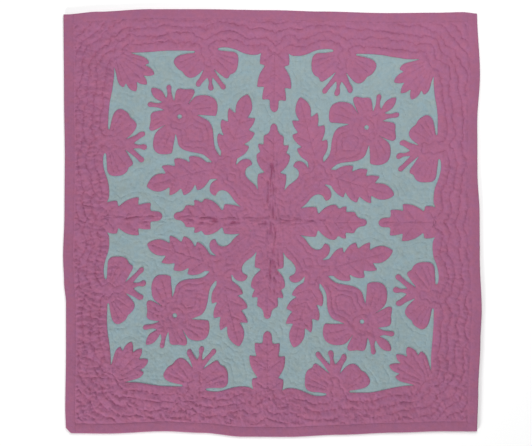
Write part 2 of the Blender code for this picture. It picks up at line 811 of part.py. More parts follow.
def prism(outline, low, high):
    """A closed upright solid on an outline."""
    bm = bmesh.new()
    face = bm.faces.new([bm.verts.new((*p, low)) for p in anticlockwise(outline)])
    raised = bmesh.ops.extrude_face_region(bm, geom=[face])["geom"]
    verts = [item for item in raised if isinstance(item, bmesh.types.BMVert)]
    bmesh.ops.translate(bm, verts=verts, vec=(0, 0, high - low))
    return bm


def strip(name, outline, slot, middle):
    """A binding strip: an edge-on prism with a slot for the rim of the quilt."""
    top = SEAT + GAP + APPLIQUE_THICK + GAP
    solid = finished(prism(outline, 0.0, top + BINDING_WALL), name, ROSE_BINDING, middle)
    cutter = finished(prism(slot, BINDING_WALL, top), name + "_slot", ROSE_BINDING, middle)
    cutter.hide_render = True
    cutter.display_type = "WIRE"
    cut = solid.modifiers.new("Slot for the rim", "BOOLEAN")
    cut.operation = "DIFFERENCE"
    cut.object = cutter
    cut.solver = "EXACT"
    return solid


def side_strip(side, middle):
    """The binding down the left or right edge, closed at both its ends."""

    def plan(inset, reach):
        edge = edge_line(side, inset)
        bottom, top = edge_line("bottom", inset), edge_line("top", inset)
        inner = edge_line(side, reach)
        inner[0], inner[-1] = at_x(bottom, inner[0].x), at_x(top, inner[-1].x)
        if side == "left":
            low, high = turned_in(inset)
            edge = [low, high] + edge[1:]
        return edge + inner[::-1]

    outline = plan(0.0, BINDING_WIDTH)
    slot = plan(BINDING_WALL, BINDING_WIDTH + SLOT_PAST)
    return strip("binding_" + side, outline, slot, middle)


def end_strip(side, middle):
    """The binding along the top or bottom edge, between the two side strips."""
    which = -1 if side == "top" else 0
    start = edge_line("left", BINDING_WIDTH)[which].x + GAP
    end = edge_line("right", BINDING_WIDTH)[which].x - GAP

    def plan(inset, reach, past):
        line = edge_line(side, inset)
        low, high = start - past, end + past
        edge = [p for p in line if low < p.x < high]
        edge = [at_x(line, low)] + edge + [at_x(line, high)]
        inward = Vector((0.0, reach - inset)) * (1 if side == "bottom" else -1)
        return edge + [p + inward for p in reversed(edge)]

    outline = plan(0.0, BINDING_WIDTH, 0.0)
    slot = plan(BINDING_WALL, BINDING_WIDTH + SLOT_PAST, SLOT_PAST)
    return strip("binding_" + side, outline, slot, middle)


def main():
    for obj in list(bpy.data.objects):
        bpy.data.objects.remove(obj)
    outline = rim(0.0)
    middle = bpy.data.objects.new("quilt_middle", None)
    middle.location.x = -(min(p.x for p in outline) + max(p.x for p in outline)) / 2
    middle.location.y = -(min(p.y for p in outline) + max(p.y for p in outline)) / 2
    bpy.context.scene.collection.objects.link(middle)

    shapes, holes, medallion_lines = medallion_pieces()
    medallion = joined(shapes, holes)
    shapes, border_lines = border_pieces()
    field = [settle(p) for p in field_outline()]
    window = joined([field], shapes)

    outer = rim(BINDING_WALL + GAP)
    loops = [outer, window[0]] + medallion
    rows = border_rows(window[0], field)
    lines = medallion_lines + border_lines
    loose = echo_points(loops[1:], lines, lambda p: within(field, p))
    row_lines = [line for line, _ in rows]
    points, triangles = triangulated(loops, lines + row_lines, [p for p, _ in loose])
    raised = Nearby(PITCH)
    raised.add([p for p, crown in loose if crown])
    for line, crown in rows:
        if crown:
            raised.add(line)
    heights = [0.0 if raised.clear_of(p, NEAR * 10) else 1.0 for p in points]

    border, centre, ground = [], [], []
    for triangle, origins in triangles:
        if 1 not in origins:
            border.append(triangle)
        elif 2 in origins and max(origins) == 2:
            centre.append(triangle)
        else:
            ground.append(triangle)

    quilted_body(points, ground, heights, middle)
    sewn_on("border_applique", points, border, heights, middle)
    sewn_on("medallion_applique", points, centre, heights, middle)
    for side in ("left", "right"):
        side_strip(side, middle)
    for side in ("top", "bottom"):
        end_strip(side, middle)


main()
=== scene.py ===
"""Hawaiian quilt: its cloths, quilting and sewing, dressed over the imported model."""

import json
import math
from collections import namedtuple
from functools import lru_cache

import bmesh
import bpy
import numpy as np
from bpy.props import FloatProperty, FloatVectorProperty, PointerProperty
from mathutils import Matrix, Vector, noise
from mathutils.geometry import delaunay_2d_cdt
from mathutils.kdtree import KDTree


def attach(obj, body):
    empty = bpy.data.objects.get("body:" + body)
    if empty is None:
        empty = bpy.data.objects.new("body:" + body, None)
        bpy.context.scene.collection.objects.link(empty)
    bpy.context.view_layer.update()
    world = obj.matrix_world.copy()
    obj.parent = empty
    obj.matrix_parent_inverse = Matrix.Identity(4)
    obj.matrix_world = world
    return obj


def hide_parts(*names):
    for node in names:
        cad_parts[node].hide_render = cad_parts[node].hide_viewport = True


bl_info = {
    "name": "Hawaiian quilt",
    "version": (1, 0, 0),
    "blender": (4, 5, 0),
    "location": "View3D > Sidebar > Quilt",
    "description": "Cloths, quilting and sewing of a flat Hawaiian quilt",
    "category": "Add Mesh",
}

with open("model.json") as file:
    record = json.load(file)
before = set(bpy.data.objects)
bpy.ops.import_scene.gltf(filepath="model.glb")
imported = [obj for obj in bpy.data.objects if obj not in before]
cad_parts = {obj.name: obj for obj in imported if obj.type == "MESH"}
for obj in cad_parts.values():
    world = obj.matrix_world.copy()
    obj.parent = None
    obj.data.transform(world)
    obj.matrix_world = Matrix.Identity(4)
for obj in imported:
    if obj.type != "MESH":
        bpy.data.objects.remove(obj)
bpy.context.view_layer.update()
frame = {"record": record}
FINISHES = {slot["slot"]: slot["base_color"] for slot in frame["record"]["materials"]}

# Without a seed the vector noise starts from the clock, and every run would cut the seams anew
noise.seed_set(1)

MM_PER_METRE = 1000.0

# Size of the quilt and its pattern, as in the part
WIDTH = 1.070
HEIGHT = 1.092
BINDING_WIDTH = 0.025
FIELD = 0.420
STRETCH = Vector((1.0, 1.030))
PATTERN_CENTRE = Vector((-0.004, 0.0045))
PATTERN_TURN = math.radians(-1.3)

# Heights above the surface, and the room that the bindings have, as in the part
REBATE = 0.0015
REBATE_SLOPE = 0.0040
SEAT = 0.0050
GAP = 0.0003
BINDING_WALL = 0.0012
BESIDE = 0.0020

# Quilting rows: how far apart they are, and half the width of the change at the field's edge
FIELD_PITCH = 0.0140
BORDER_PITCH = 0.0210
CHANGE = 0.012
CHANGE_SEARCH = 4 * CHANGE
MOST_ROWS = 9
HALF_ROW = 0.5

# Square grid of row numbers: its step, its reach, and how far short of its end it is read
GRID = 0.0024
GRID_REACH = 0.560
GRID_END = 1.001
NO_ROW = -1.0

# What keeps rows wide enough to quilt
BLUNT_STEPS = 2
BLUNT = 2.12
LEAST_RISE = 0.06
LEAST_CHAIN = 4

# How unsteadily the rows are quilted, in rows: small shakes and long ones
Shake = namedtuple("Shake", "rows wave seed")
SHAKES = [Shake(0.26, 0.0105, 31.0), Shake(0.45, 0.036, 33.0)]
SHAKE_START = 0.8

# Where the meshes get lines of points: shares of a row, ways off a seam, and steps along them
FIELD_LEVELS = (0.0, 0.09, 0.24, 0.41, 0.59, 0.76, 0.91)
BORDER_LEVELS = (0.0, 0.08, 0.25, 0.50, 0.75, 0.92)
BACK_LEVELS = (0.0, 0.18, 0.50, 0.82)
ROLLED = (0.0005, 0.0012)
ROLLED_CLEAR = 0.9
SEAM_STEP = 0.0021
SOURCE_STEP = 0.0010
FIELD_STEP = 0.0023
BORDER_STEP = 0.0030
BACK_STEP = 0.0085
FLAT_STEP = 0.030
CURVE_STEPS = 8
ROUND_STEPS = 8
FLOW_STEPS = 6
DISC_STEPS = 48
FLAT_CLEAR = FLAT_STEP / 3
SHORTEST_EDGE = 0.0005
NEAR = 1e-6
LEAST_LENGTH = 1e-12
LEAST_SLOPE = 1e-9

# How far sewing by hand has moved each place of the design
Stray = namedtuple("Stray", "across_mm up_mm right_mm higher_mm")
STRAYS = [
    Stray(0, 0, 0, 0), Stray(-245, 245, 5, 14), Stray(245, 245, -2, -5),
    Stray(-245, -245, 4, 2), Stray(245, -245, -2, -3), Stray(0, 251, 6, -8),
    Stray(0, -251, 0, 8), Stray(-251, 0, 2, 5), Stray(251, 0, -2, 1),
    Stray(-178, 420, 3, 4), Stray(178, 420, 5, 7), Stray(420, 178, 10, 20),
    Stray(420, -178, 10, -2), Stray(178, -420, 7, -9), Stray(-178, -420, -10, -2),
    Stray(-420, -178, 2, -9), Stray(-420, 178, -7, 14), Stray(-420, 420, 4, -2),
    Stray(420, 420, -3, -3), Stray(-420, -420, 13, 4), Stray(420, -420, 8, 13),
    Stray(-90, 280, 7, -1), Stray(90, 280, -8, -8), Stray(-90, -280, -5, 4),
    Stray(90, -280, -13, 5), Stray(-280, -90, 2, 15), Stray(280, -90, -4, 4),
    Stray(280, 90, -3, -5), Stray(-280, 90, -6, 15), Stray(350, 0, 7, 8),
    Stray(-350, 0, -2, -3), Stray(0, -350, 6, -5),
]
STRAY_SPREAD = 0.090
STRAY_FLOOR = 0.08

# Hole in the middle of each bloom
EYELET_RADIUS = 0.0062
EYELET_STEPS = 24

# The quilt's edges: the turned-in corner, and how far each edge bulges at shares of its length
CHAMFER = 0.014
CHAMFER_LOSS = 0.6
CHAMFER_LEAST = 0.002
CHAMFER_LEAN = 0.9
EDGE_STATIONS = 48
CORNER_PASSES = 4
Bulge = namedtuple("Bulge", "share out_mm")
EDGES = {
    "left": [
        Bulge(0.00, -2.5), Bulge(0.06, -0.5), Bulge(0.20, -2.5), Bulge(0.31, -2.5),
        Bulge(0.36, 2.5), Bulge(0.42, 5.0), Bulge(0.52, 1.5), Bulge(0.66, 0.5),
        Bulge(0.80, 2.5), Bulge(1.00, 4.0),
    ],
    "right": [
        Bulge(0.00, -5.0), Bulge(0.10, -2.0), Bulge(0.22, 3.5), Bulge(0.29, 7.0),
        Bulge(0.42, 2.0), Bulge(0.52, 1.5), Bulge(0.62, -4.0), Bulge(0.74, -4.5),
        Bulge(0.85, 2.5), Bulge(1.00, -5.0),
    ],
    "bottom": [
        Bulge(0.00, -2.0), Bulge(0.10, -1.0), Bulge(0.24, -7.0), Bulge(0.33, -3.0),
        Bulge(0.43, 7.0), Bulge(0.54, 7.5), Bulge(0.66, 2.0), Bulge(0.80, -3.5),
        Bulge(0.91, -7.0), Bulge(1.00, -6.5),
    ],
    "top": [
        Bulge(0.00, -7.5), Bulge(0.08, -0.5), Bulge(0.20, 6.0), Bulge(0.32, 6.0),
        Bulge(0.50, 3.5), Bulge(0.62, 0.0), Bulge(0.78, -4.0), Bulge(0.90, -3.0),
        Bulge(0.96, -1.5), Bulge(1.00, -5.5),
    ],
}

# Cut pieces of the design, in millimetres across and along each one
Lobe = namedtuple("Lobe", "notch_out notch_along tip_out tip_along")
Leaf = namedtuple(
    "Leaf", "lobes neck_out neck_along bulb_out bulb_along cheek_out cheek_along length"
)
LOBE_FULLNESS = 1.04
LOBE_BELLY = 0.45
LOBE_HOLLOW = 0.0020
LEAF_ROOT = Vector((0.001, 0.022))
RIB_STOP = 0.016
VEIN_ROOT = 0.75
VEIN_TIP = Vector((0.70, 0.24))
AXIS_LEAF = Leaf(
    [
        Lobe(33, 76, 37, 120), Lobe(20, 125, 45, 172),
        Lobe(34, 179, 41, 199), Lobe(26, 197, 27, 220),
    ],
    15, 226, 10, 238, 9.5, 249, 251,
)
SPRAY_LEAF = Leaf(
    [Lobe(21, 12, 42, 53), Lobe(27, 53, 45, 90), Lobe(27, 91, 36, 125)],
    16, 118, 21, 142, 18, 162, 174,
)
SPRAY_BEND = 0.0015
SPRAY_ROOT_LEAN = 0.006
SPRAY_ROOT = (0.020, 0.030)
BORDER_LEAF = Leaf(
    [Lobe(29, -14, 40, 26), Lobe(26, 29, 47, 82), Lobe(28, 80, 33, 112)],
    13, 111, 12, 126, 11.5, 138, 141,
)

Soft = namedtuple("Soft", "across_mm along_mm")
Sharp = namedtuple("Sharp", "across_mm along_mm")
ARM = [
    Sharp(0, 0), Sharp(30, 0), Soft(30, 70), Soft(33, 95), Soft(31, 115), Soft(32, 128),
    Soft(38, 138), Soft(48, 143), Sharp(63, 139), Soft(67, 151), Soft(61, 162), Soft(48, 168),
    Sharp(30, 166), Sharp(26, 186), Sharp(14, 200), Sharp(13, 215),
]
SPRAY_ALONG = 0.1916
SPRAY_ASIDE = 0.0225
SPRAY_HEADING = math.radians(61.5)
BLOOM_ALONG = 0.346
HUB = 0.080

Spot = namedtuple("Spot", "across_mm along_mm")
BLOOM_POD = [Sharp(0, 105), Soft(8, 95), Soft(12, 81), Soft(10, 68), Sharp(6, 57)]
BLOOM_PIN = [
    Soft(16, 62), Soft(23, 70.5), Soft(28, 79), Soft(36, 80), Soft(39, 72), Soft(32.5, 65),
    Soft(24, 54), Sharp(17, 38),
]
BLOOM_OUTER_PETAL = [
    Soft(33, 50), Soft(44, 55), Soft(52, 51), Soft(59, 42), Soft(68, 35), Soft(76, 27),
    Soft(72, 19.5), Sharp(38, 8),
]
BLOOM_SIDE_PETAL = [
    Soft(54, 10.5), Soft(69, 10.5), Soft(83, 3), Soft(95, -9), Soft(101, -24), Soft(97, -37),
    Soft(85, -50), Sharp(73, -57), Soft(55, -41), Sharp(36, -25),
]
BLOOM_THROAT = [
    Soft(42, -38), Soft(49, -53), Soft(47, -69), Soft(38, -85), Soft(26, -100), Soft(16, -117),
    Sharp(12, -145),
]
BLOOM_LINES = [
    [Spot(46, -2), Spot(82, -12)], [Spot(45, -14), Spot(78, -32)],
    [Spot(30, 32), Spot(56, 39)], [Spot(36, 23), Spot(62, 27)],
]

HALF_BLOOM_ASIDE = 0.178
HALF_BLOOM_LEAN = math.radians(6.0)
HALF_BLOOM_CORNER_PETAL = [
    Sharp(29, -14), Sharp(30, 3), Soft(54, 4), Soft(76, 8), Soft(87, 19), Soft(83, 33),
    Soft(76, 43), Sharp(67, 48), Soft(61, 59), Soft(49, 67), Soft(33, 63), Sharp(11, 46),
]
HALF_BLOOM_PINS = [
    Soft(18, 58), Soft(26, 70), Soft(34, 78), Soft(35, 88), Soft(27, 91), Soft(21.5, 84),
    Soft(15, 77), Sharp(4, 67), Soft(1.5, 81), Soft(5, 91), Soft(3.5, 99), Soft(-3, 101),
    Soft(-9, 96), Soft(-6, 83), Sharp(-9, 67), Soft(-17, 78), Soft(-25, 89), Soft(-29, 97),
    Soft(-37, 98), Soft(-40, 90), Soft(-33, 81), Soft(-25, 68), Sharp(-14, 47),
]
HALF_BLOOM_LEAF_PETAL = [
    Soft(-30, 61), Soft(-46, 72), Sharp(-55, 62), Soft(-65, 59), Soft(-74, 49), Soft(-79, 31),
    Soft(-79, 17), Soft(-72, 9), Soft(-50, 5), Sharp(-29, 1), Sharp(-29, -14),
]
HALF_LINES = [Spot(70, 24), Spot(66, 38), Spot(50, 53)]
HALF_LINE_START = 0.42

FAN = [
    Sharp(0, -30), Sharp(37, 17), Sharp(25, 27.5), Soft(34, 46), Soft(43, 62), Soft(47.5, 76),
    Sharp(46, 89), Sharp(32.5, 84), Soft(37, 97), Soft(37, 111), Sharp(32, 122),
    Soft(21, 114), Sharp(11.5, 101), Soft(8.5, 116), Sharp(0, 128.5),
]
FAN_LINES = [Spot(-46, 89), Spot(-32, 122), Spot(0, 128.5), Spot(32, 122), Spot(46, 89)]
FAN_LINE_SPAN = (0.30, 0.80)

Scallop = namedtuple("Scallop", "along_mm out_mm")
SCALLOPS = [
    Scallop(0, 2), Scallop(30, 4), Scallop(46, -4), Scallop(66, -5), Scallop(84, -2),
    Scallop(102, 5), Scallop(120, 9), Scallop(140, 9), Scallop(158, 4), Scallop(200, -1),
    Scallop(260, -1), Scallop(310, -2), Scallop(360, -4), Scallop(420, -5),
]

# Seams as hands cut and turn them
CUT_WOBBLE = 0.0007
CUT_WAVE = 0.024
CUT_ROUNDING = 3

# Sewn-on cloth: its thickness, how far its folded edge is rolled, and its height off the seat
CLOTH_THICK = 0.0010
FOLD_THICK = 0.00035
FOLD = 0.0011
OFF_SEAT = 0.00005

# Puff of the filling between rows, flatter by seams, on veins and in the middle of the quilt
PUFF = 0.0020
CROWN_POWER = 0.55
GROUND_SHARE = 0.55
BACK_DIP = 0.0007
SEAM_CLEAN = 0.0030
CLOSE = 0.0040
VEIN_SOFT = 0.30
CENTRE_CALM = 0.55
CENTRE_REACH = 0.095
TENSION = 0.40
TENSION_WAVE = 0.032
TENSION_GAIN = 1.7
FADE = 0.0060
UNDER_BINDING = 0.0030

# Slow rise of the quilt off its surface where it isn't pulled flat
EASE = 0.0008
EASE_WAVE = 0.110
EASE_GAIN = 1.6
EASE_END = 4 * BINDING_WIDTH

# Puckers across the rows: height, size, direction, and where the quilt is more crushed
PUCKER = 0.0027
PUCKER_LEAST = -0.0005
PUCKER_WAVE = 0.0064
PUCKER_TAPS = (-2.4, -1.6, -0.8, 0.0, 0.8, 1.6, 2.4)
PUCKER_GAIN = 5.0
PUCKER_LOOSE = 0.09
PUCKER_SLANT = 0.8
PUCKER_IN_FIELD = 0.42
SLANT_WAVE = 0.055
STREAKS_TURN = 0.55
CRUSHED = (0.92, -0.55, -0.40)

# How deep, from 0 to 1, the hollows of rows, puckers and folds count for their painted shade
ROW_DEEP = 0.80
PUCKER_DEEP = 0.75
FOLD_DEEP = 0.9
DEEP_IN_FIELD = 0.55

# Running stitches in the valleys
STITCH_CLEAR = 0.0030
STITCH_OFF = 0.0002
STITCH_MOST = 0.0045
STITCH_SHARE = 0.92
STITCH_PROUD = 0.00006
STITCH_WIDE = 0.00046
STITCH_TALL = 0.00034

# Folds kept from storage: a quarter fold each way, as far as each shows
Fold = namedtuple("Fold", "start end half_mm depth_mm")
FOLDS = [
    Fold((0.006, -0.200), (-0.004, 0.190), 18, 4.2),
    Fold((-0.440, 0.006), (0.170, 0.004), 13, 3.2),
    Fold((0.150, -0.010), (0.470, -0.004), 9, 1.2),
    Fold((-0.010, 0.190), (0.000, 0.470), 9, 0.9),
]
CREASES = [
    Fold((0.012, -0.150), (0.006, 0.080), 2.4, 3.6),
    Fold((-0.006, -0.060), (-0.002, 0.170), 2.2, 3.2),
    Fold((-0.210, 0.010), (0.020, 0.014), 2.2, 3.2),
    Fold((-0.470, 0.008), (-0.180, 0.012), 1.8, 2.0),
    Fold((-0.120, -0.004), (0.110, 0.000), 2.0, 2.4),
]
FOLD_END = 0.10
FOLD_REACH = 3
FOLD_STRETCH = 5.0
FOLD_WAVE = 0.0055
FOLD_GAIN = 2.2
# Depth of a fold, in millimetres, where its painted shade is darkest
FOLD_DARK_MM = 2.6
CREASE_REACH = 4
CREASE_WAVE = 0.045
CREASE_STRAY = 0.006
CREASE_SHARE = 0.6
CREASE_BREAKS = 0.7

# Binding strips: the folded section, its ends, and how its seam dips and ripples
STRIP_STEP = 0.003
STRIP_ENDS = [0.0, 0.0003, 0.0008, 0.0014, 0.0020, 0.0026, 0.0045]
STRIP_TOP = 0.0078
STRIP_ROUND = 0.0026
STRIP_ROUND_STEPS = 6
STRIP_NIP = 0.0003
STRIP_SLOT = (0.0012, 0.0066)
Bend = namedtuple("Bend", "inset dip")
STRIP_FACE = [
    Bend(0.0238, 0.75), Bend(0.0225, 0.45), Bend(0.0205, 0.15), Bend(0.018, 0.0),
    Bend(0.0145, 0.0), Bend(0.0110, 0.0), Bend(0.0075, 0.0), Bend(0.0045, 0.0),
]
STRIP_UNDERSIDE = [Bend(0.008, 0.0), Bend(0.016, 0.0)]
STRIP_LOW_LINING = [Bend(0.014, 0.0), Bend(BINDING_WALL, 0.0)]
STRIP_HIGH_LINING = [
    Bend(BINDING_WALL, 0.0), Bend(0.010, 0.0), Bend(0.0185, 0.0), Bend(0.0225, 0.35),
    Bend(BINDING_WIDTH - STRIP_NIP, 0.40),
]
STRIP_LIP_DIP = 0.55
STRIP_DIP = 0.0011
STRIP_TUCK = 0.0040
STRIP_TUCK_DIP = 0.45
STRIP_SEAM_START = 0.9 * BINDING_WIDTH
STRIP_SEAM_RISE = 0.2 * BINDING_WIDTH
RIPPLE = 0.00030
RIPPLE_WAVE = 0.0060
RIPPLE_DRIFT = 2.5
RIPPLE_INSET = 0.021
RIPPLE_SPREAD = 0.006
RIPPLE_SHARE = 0.6
RIPPLE_NOISE_WAVE = 0.03

# Slices of the noise, one for each kind of unevenness
TENSION_SEED = 1.0
PUCKER_LOOSE_SEED = 2.0
CUT_SEED = 3.0
PUCKER_SEED = 4.0
EASE_SEED = 7.0
SLANT_SEED = 9.0
FOLD_SEED = 11.0
RIPPLE_SEED = 11.0
CREASE_STRAY_SEED = 21.0
CREASE_BREAK_SEED = 25.0

# Cotton: a thread's width, what each pattern is like, and how strongly it shades the cloth
Pattern = namedtuple("Pattern", "scale detail roughness shade twist", defaults=(0.0, 0.0))
THREAD = 0.00042
WEAVE_SHADE = 0.03
SLUB = Pattern(900.0, 1.0, 0.5, 0.10)
SLUB_STRETCH = 0.012
FADING = Pattern(14.0, 4.0, 0.55, 0.20)
MOTTLE = Pattern(130.0, 2.0, 0.6, 0.24)
WARMTH = Pattern(60.0, 2.0, 0.6, 0.22)
WRINKLE = Pattern(95.0, 3.0, 0.5, twist=0.6)
SOAK = 0.09
Bump = namedtuple("Bump", "strength distance")
THREAD_BUMP = Bump(0.35, 0.00012)
THREAD_BUMP_WEAVE = 0.5
THREAD_BUMP_SLUBS = 0.8
WRINKLE_BUMP = Bump(0.7, 0.0022)

# Painted shade that a deep hollow gets on each cloth, and how bright the cloth is elsewhere
Tone = namedtuple("Tone", "hollow_share brightness")
GROUND_TONE = Tone(0.08, 0.83)
APPLIQUE_TONE = Tone(0.30, 0.88)
BINDING_TONE = Tone(0.0, 0.87)

# Width and length that each sewn-on cloth was cut from
FLAT_SIZES = {"medallion": (0.79, 0.79), "border": (1.02, 1.04)}

# Stage: the floor, the middle of the picture on the quilt, and the lamps
FLOOR_SIZE = 6.0
FLOOR_DROP = 0.0002
FLOOR_COLOUR = (0.97, 0.97, 0.97, 1.0)
VIEW_MIDDLE = (-0.0155, -0.0007)
SENSOR_MM = 36.0
CLIP_END = 100.0
Lamp = namedtuple("Lamp", "size place aim")
KEY = Lamp(0.8, (-1.5, -3.4, 1.2), (0.0, 0.0, 0.0))
FILL = Lamp(2.5, (0.4, 1.3, 2.2), (0.0, 0.3, 0.0))


def mm(value):
    return value / MM_PER_METRE


def put(spot):
    """The point of a table's spot."""
    return Vector((mm(spot.across_mm), mm(spot.along_mm)))


def bow(start, control, end, steps=CURVE_STEPS):
    """Points of a curve from start to end, without its start."""
    points = []
    for i in range(1, steps + 1):
        t = i / steps
        points.append(start * (1 - t) ** 2 + control * (2 * t * (1 - t)) + end * t * t)
    return points


def mirrored(points):
    """The points and their mirror images across the along axis, as one closed outline."""
    return points + [Vector((-p.x, p.y)) for p in reversed(points) if abs(p.x) > NEAR]


def both_sides(turns):
    """The turns and their mirror images across the along axis, as one closed outline."""
    return turns + [
        type(turn)(-turn.across_mm, turn.along_mm) for turn in reversed(turns) if turn.across_mm
    ]


def flowing(turns):
    """The closed outline through some turns, curved at the soft ones and cornered at the rest."""
    places = [put(turn) for turn in turns]
    count = len(places)
    points = []
    for i, (start, turn) in enumerate(zip(places, turns)):
        end, after = places[(i + 1) % count], turns[(i + 1) % count]
        step = end - start
        lean_out, lean_in = step, step
        if isinstance(turn, Soft):
            lean_out = (end - places[i - 1]).normalized() * step.length
        if isinstance(after, Soft):
            lean_in = (places[(i + 2) % count] - start).normalized() * step.length
        points.append(start)
        if isinstance(turn, Soft) or isinstance(after, Soft):
            for k in range(1, FLOW_STEPS):
                t = k / FLOW_STEPS
                back = 1 - t
                points.append(
                    start * (back * back * (1 + 2 * t)) + lean_out * (t * back * back)
                    + end * (t * t * (3 - 2 * t)) - lean_in * (t * t * back)
                )
    return points


def leaf_side(leaf):
    """The right-hand edge of a leaf from its root to its tip: forward lobes, then the end lobe."""
    feet = [Vector((mm(lobe.notch_out), mm(lobe.notch_along))) for lobe in leaf.lobes]
    feet.append(Vector((mm(leaf.neck_out), mm(leaf.neck_along))))
    points = [feet[0]]
    for lobe, foot, next_foot in zip(leaf.lobes, feet, feet[1:]):
        tip = Vector((mm(lobe.tip_out), mm(lobe.tip_along)))
        belly = Vector((tip.x * LOBE_FULLNESS, foot.y + LOBE_BELLY * (tip.y - foot.y)))
        hollow = (tip + next_foot) / 2 + Vector((0, -LOBE_HOLLOW))
        points += bow(foot, belly, tip)
        points += bow(tip, hollow, next_foot)
    bulb = Vector((mm(leaf.bulb_out), mm(leaf.bulb_along)))
    cheek = Vector((mm(leaf.cheek_out), mm(leaf.cheek_along)))
    end = Vector((0, mm(leaf.length)))
    points += bow(points[-1], Vector((bulb.x, (points[-1].y + bulb.y) / 2)), bulb)
    points += bow(bulb, cheek, end, ROUND_STEPS)
    return points


def leaf_outline(leaf):
    """A whole leaf, with a root that runs back into what it grows from."""
    side = leaf_side(leaf)
    back = side[0] - Vector((LEAF_ROOT.x, LEAF_ROOT.y))
    return mirrored([Vector((0, back.y)), back] + side)


def leaf_channels(leaf):
    """Quilting inside a leaf: the midrib, and a vein to each lobe."""
    rib, veins = [], []
    for lobe in leaf.lobes:
        start = Vector((0, mm(lobe.tip_along - VEIN_ROOT * lobe.tip_out)))
        rib.append(start)
        for side in (-1, 1):
            out = side * mm(VEIN_TIP.x * lobe.tip_out)
            veins.append([start, Vector((out, mm(lobe.tip_along - VEIN_TIP.y * lobe.tip_out)))])
    rib.append(Vector((0, mm(leaf.length) - RIB_STOP)))
    return [rib] + veins


def bent(points, side):
    """Points of a spray leaf, whose tip leans to its bloom, and whose root leans away from it."""
    moved = []
    for p in points:
        tip = (max(p.y, 0.0) / mm(SPRAY_LEAF.length)) ** 2
        root = min(max((SPRAY_ROOT[0] - p.y) / SPRAY_ROOT[1], 0.0), 1.0)
        moved.append(Vector((p.x - side * (SPRAY_BEND * tip - SPRAY_ROOT_LEAN * root), p.y)))
    return moved


def circle(centre, radius, steps):
    return [
        centre + radius * Vector((math.cos(math.tau * i / steps), math.sin(math.tau * i / steps)))
        for i in range(steps)
    ]


def bloom():
    """Outline and quilting of a whole bloom, its middle at the origin."""
    half = BLOOM_POD + BLOOM_PIN + BLOOM_OUTER_PETAL + BLOOM_SIDE_PETAL + BLOOM_THROAT
    channels = []
    for line in BLOOM_LINES:
        channels += [[put(spot) * Vector((side, 1)) for spot in line] for side in (-1, 1)]
    return flowing(both_sides(half)), channels


def half_bloom():
    """Outline and quilting of a half bloom that grows inward from the field's edge."""
    channels = []
    for spot in HALF_LINES:
        for side in (-1, 1):
            end = put(spot) * Vector((side, 1))
            channels.append([end * HALF_LINE_START, end])
    return flowing(HALF_BLOOM_CORNER_PETAL + HALF_BLOOM_PINS + HALF_BLOOM_LEAF_PETAL), channels


def fan():
    """Outline and quilting of a corner fan, its root at the origin, inward along the diagonal."""
    channels = [[put(spot) * part for part in FAN_LINE_SPAN] for spot in FAN_LINES]
    return flowing(both_sides(FAN)), channels


def field_outline():
    """The edge of the ground's field: a square whose sides swell beside each half bloom."""
    edge = FIELD * MM_PER_METRE
    side = [Soft(s.along_mm, edge + s.out_mm) for s in SCALLOPS[-2::-1]]
    side += [Soft(-s.across_mm, s.along_mm) for s in reversed(side[:-1])]
    side.append(Sharp(-SCALLOPS[-1].along_mm, edge + SCALLOPS[-1].out_mm))
    turns = []
    for quarter in range(4):
        turns += [type(turn)(*turned(turn, quarter)) for turn in side]
    return flowing(turns)


def turned(point, quarter):
    """A design point after some quarter turns anticlockwise."""
    x, y = point
    for _ in range(quarter % 4):
        x, y = -y, x
    return Vector((x, y))


def settle(point):
    """Where a point of the design lies on the sewn quilt: strayed by hand, stretched and turned."""
    total, moved = STRAY_FLOOR, Vector((0.0, 0.0))
    for stray in STRAYS:
        away = (point - Vector((mm(stray.across_mm), mm(stray.up_mm)))).length / STRAY_SPREAD
        weight = math.exp(-away * away)
        total += weight
        moved += weight * Vector((mm(stray.right_mm), mm(stray.higher_mm)))
    x, y = point.x * STRETCH.x, point.y * STRETCH.y
    cos, sin = math.cos(PATTERN_TURN), math.sin(PATTERN_TURN)
    return Vector((cos * x - sin * y, sin * x + cos * y)) + moved / total + PATTERN_CENTRE


def placed(points, origin, heading, quarter, side=1):
    """Points of a piece, put at origin with its along axis at heading off +Y, then turned."""
    along = Vector((math.sin(heading), math.cos(heading)))
    across = Vector((along.y, -along.x)) * side
    return [
        settle(turned(origin + across * p.x + along * p.y, quarter)) for p in points
    ]


def medallion_pieces():
    """Outlines, holes and quilting of the medallion, on the quilt."""
    diagonal = math.radians(45)
    out = Vector((math.sin(diagonal), math.cos(diagonal)))
    aside = Vector((out.y, -out.x))
    shapes, holes, channels = [], [], []
    bloom_shape, bloom_channels = bloom()
    for quarter in range(4):
        middle = Vector((0.0, 0.0))
        shapes.append(placed(leaf_outline(AXIS_LEAF), middle, 0.0, quarter))
        channels += [placed(c, middle, 0.0, quarter) for c in leaf_channels(AXIS_LEAF)]
        shapes.append(placed(flowing(both_sides(ARM)), middle, diagonal, quarter))
        centre = out * BLOOM_ALONG
        eyelet = circle(centre, EYELET_RADIUS, EYELET_STEPS)
        shapes.append(placed(bloom_shape, centre, diagonal, quarter))
        channels += [placed(c, centre, diagonal, quarter) for c in bloom_channels]
        holes.append([settle(turned(p, quarter)) for p in eyelet])
        for side in (-1, 1):
            root = out * SPRAY_ALONG + aside * (side * SPRAY_ASIDE)
            heading = diagonal + side * SPRAY_HEADING
            for points in leaf_channels(SPRAY_LEAF):
                channels.append(placed(bent(points, side), root, heading, quarter))
            leaf = bent(leaf_outline(SPRAY_LEAF), side)
            shapes.append(placed(leaf, root, heading, quarter))
    shapes.append([settle(p) for p in circle(Vector((0.0, 0.0)), HUB, DISC_STEPS)])
    return shapes, holes, channels


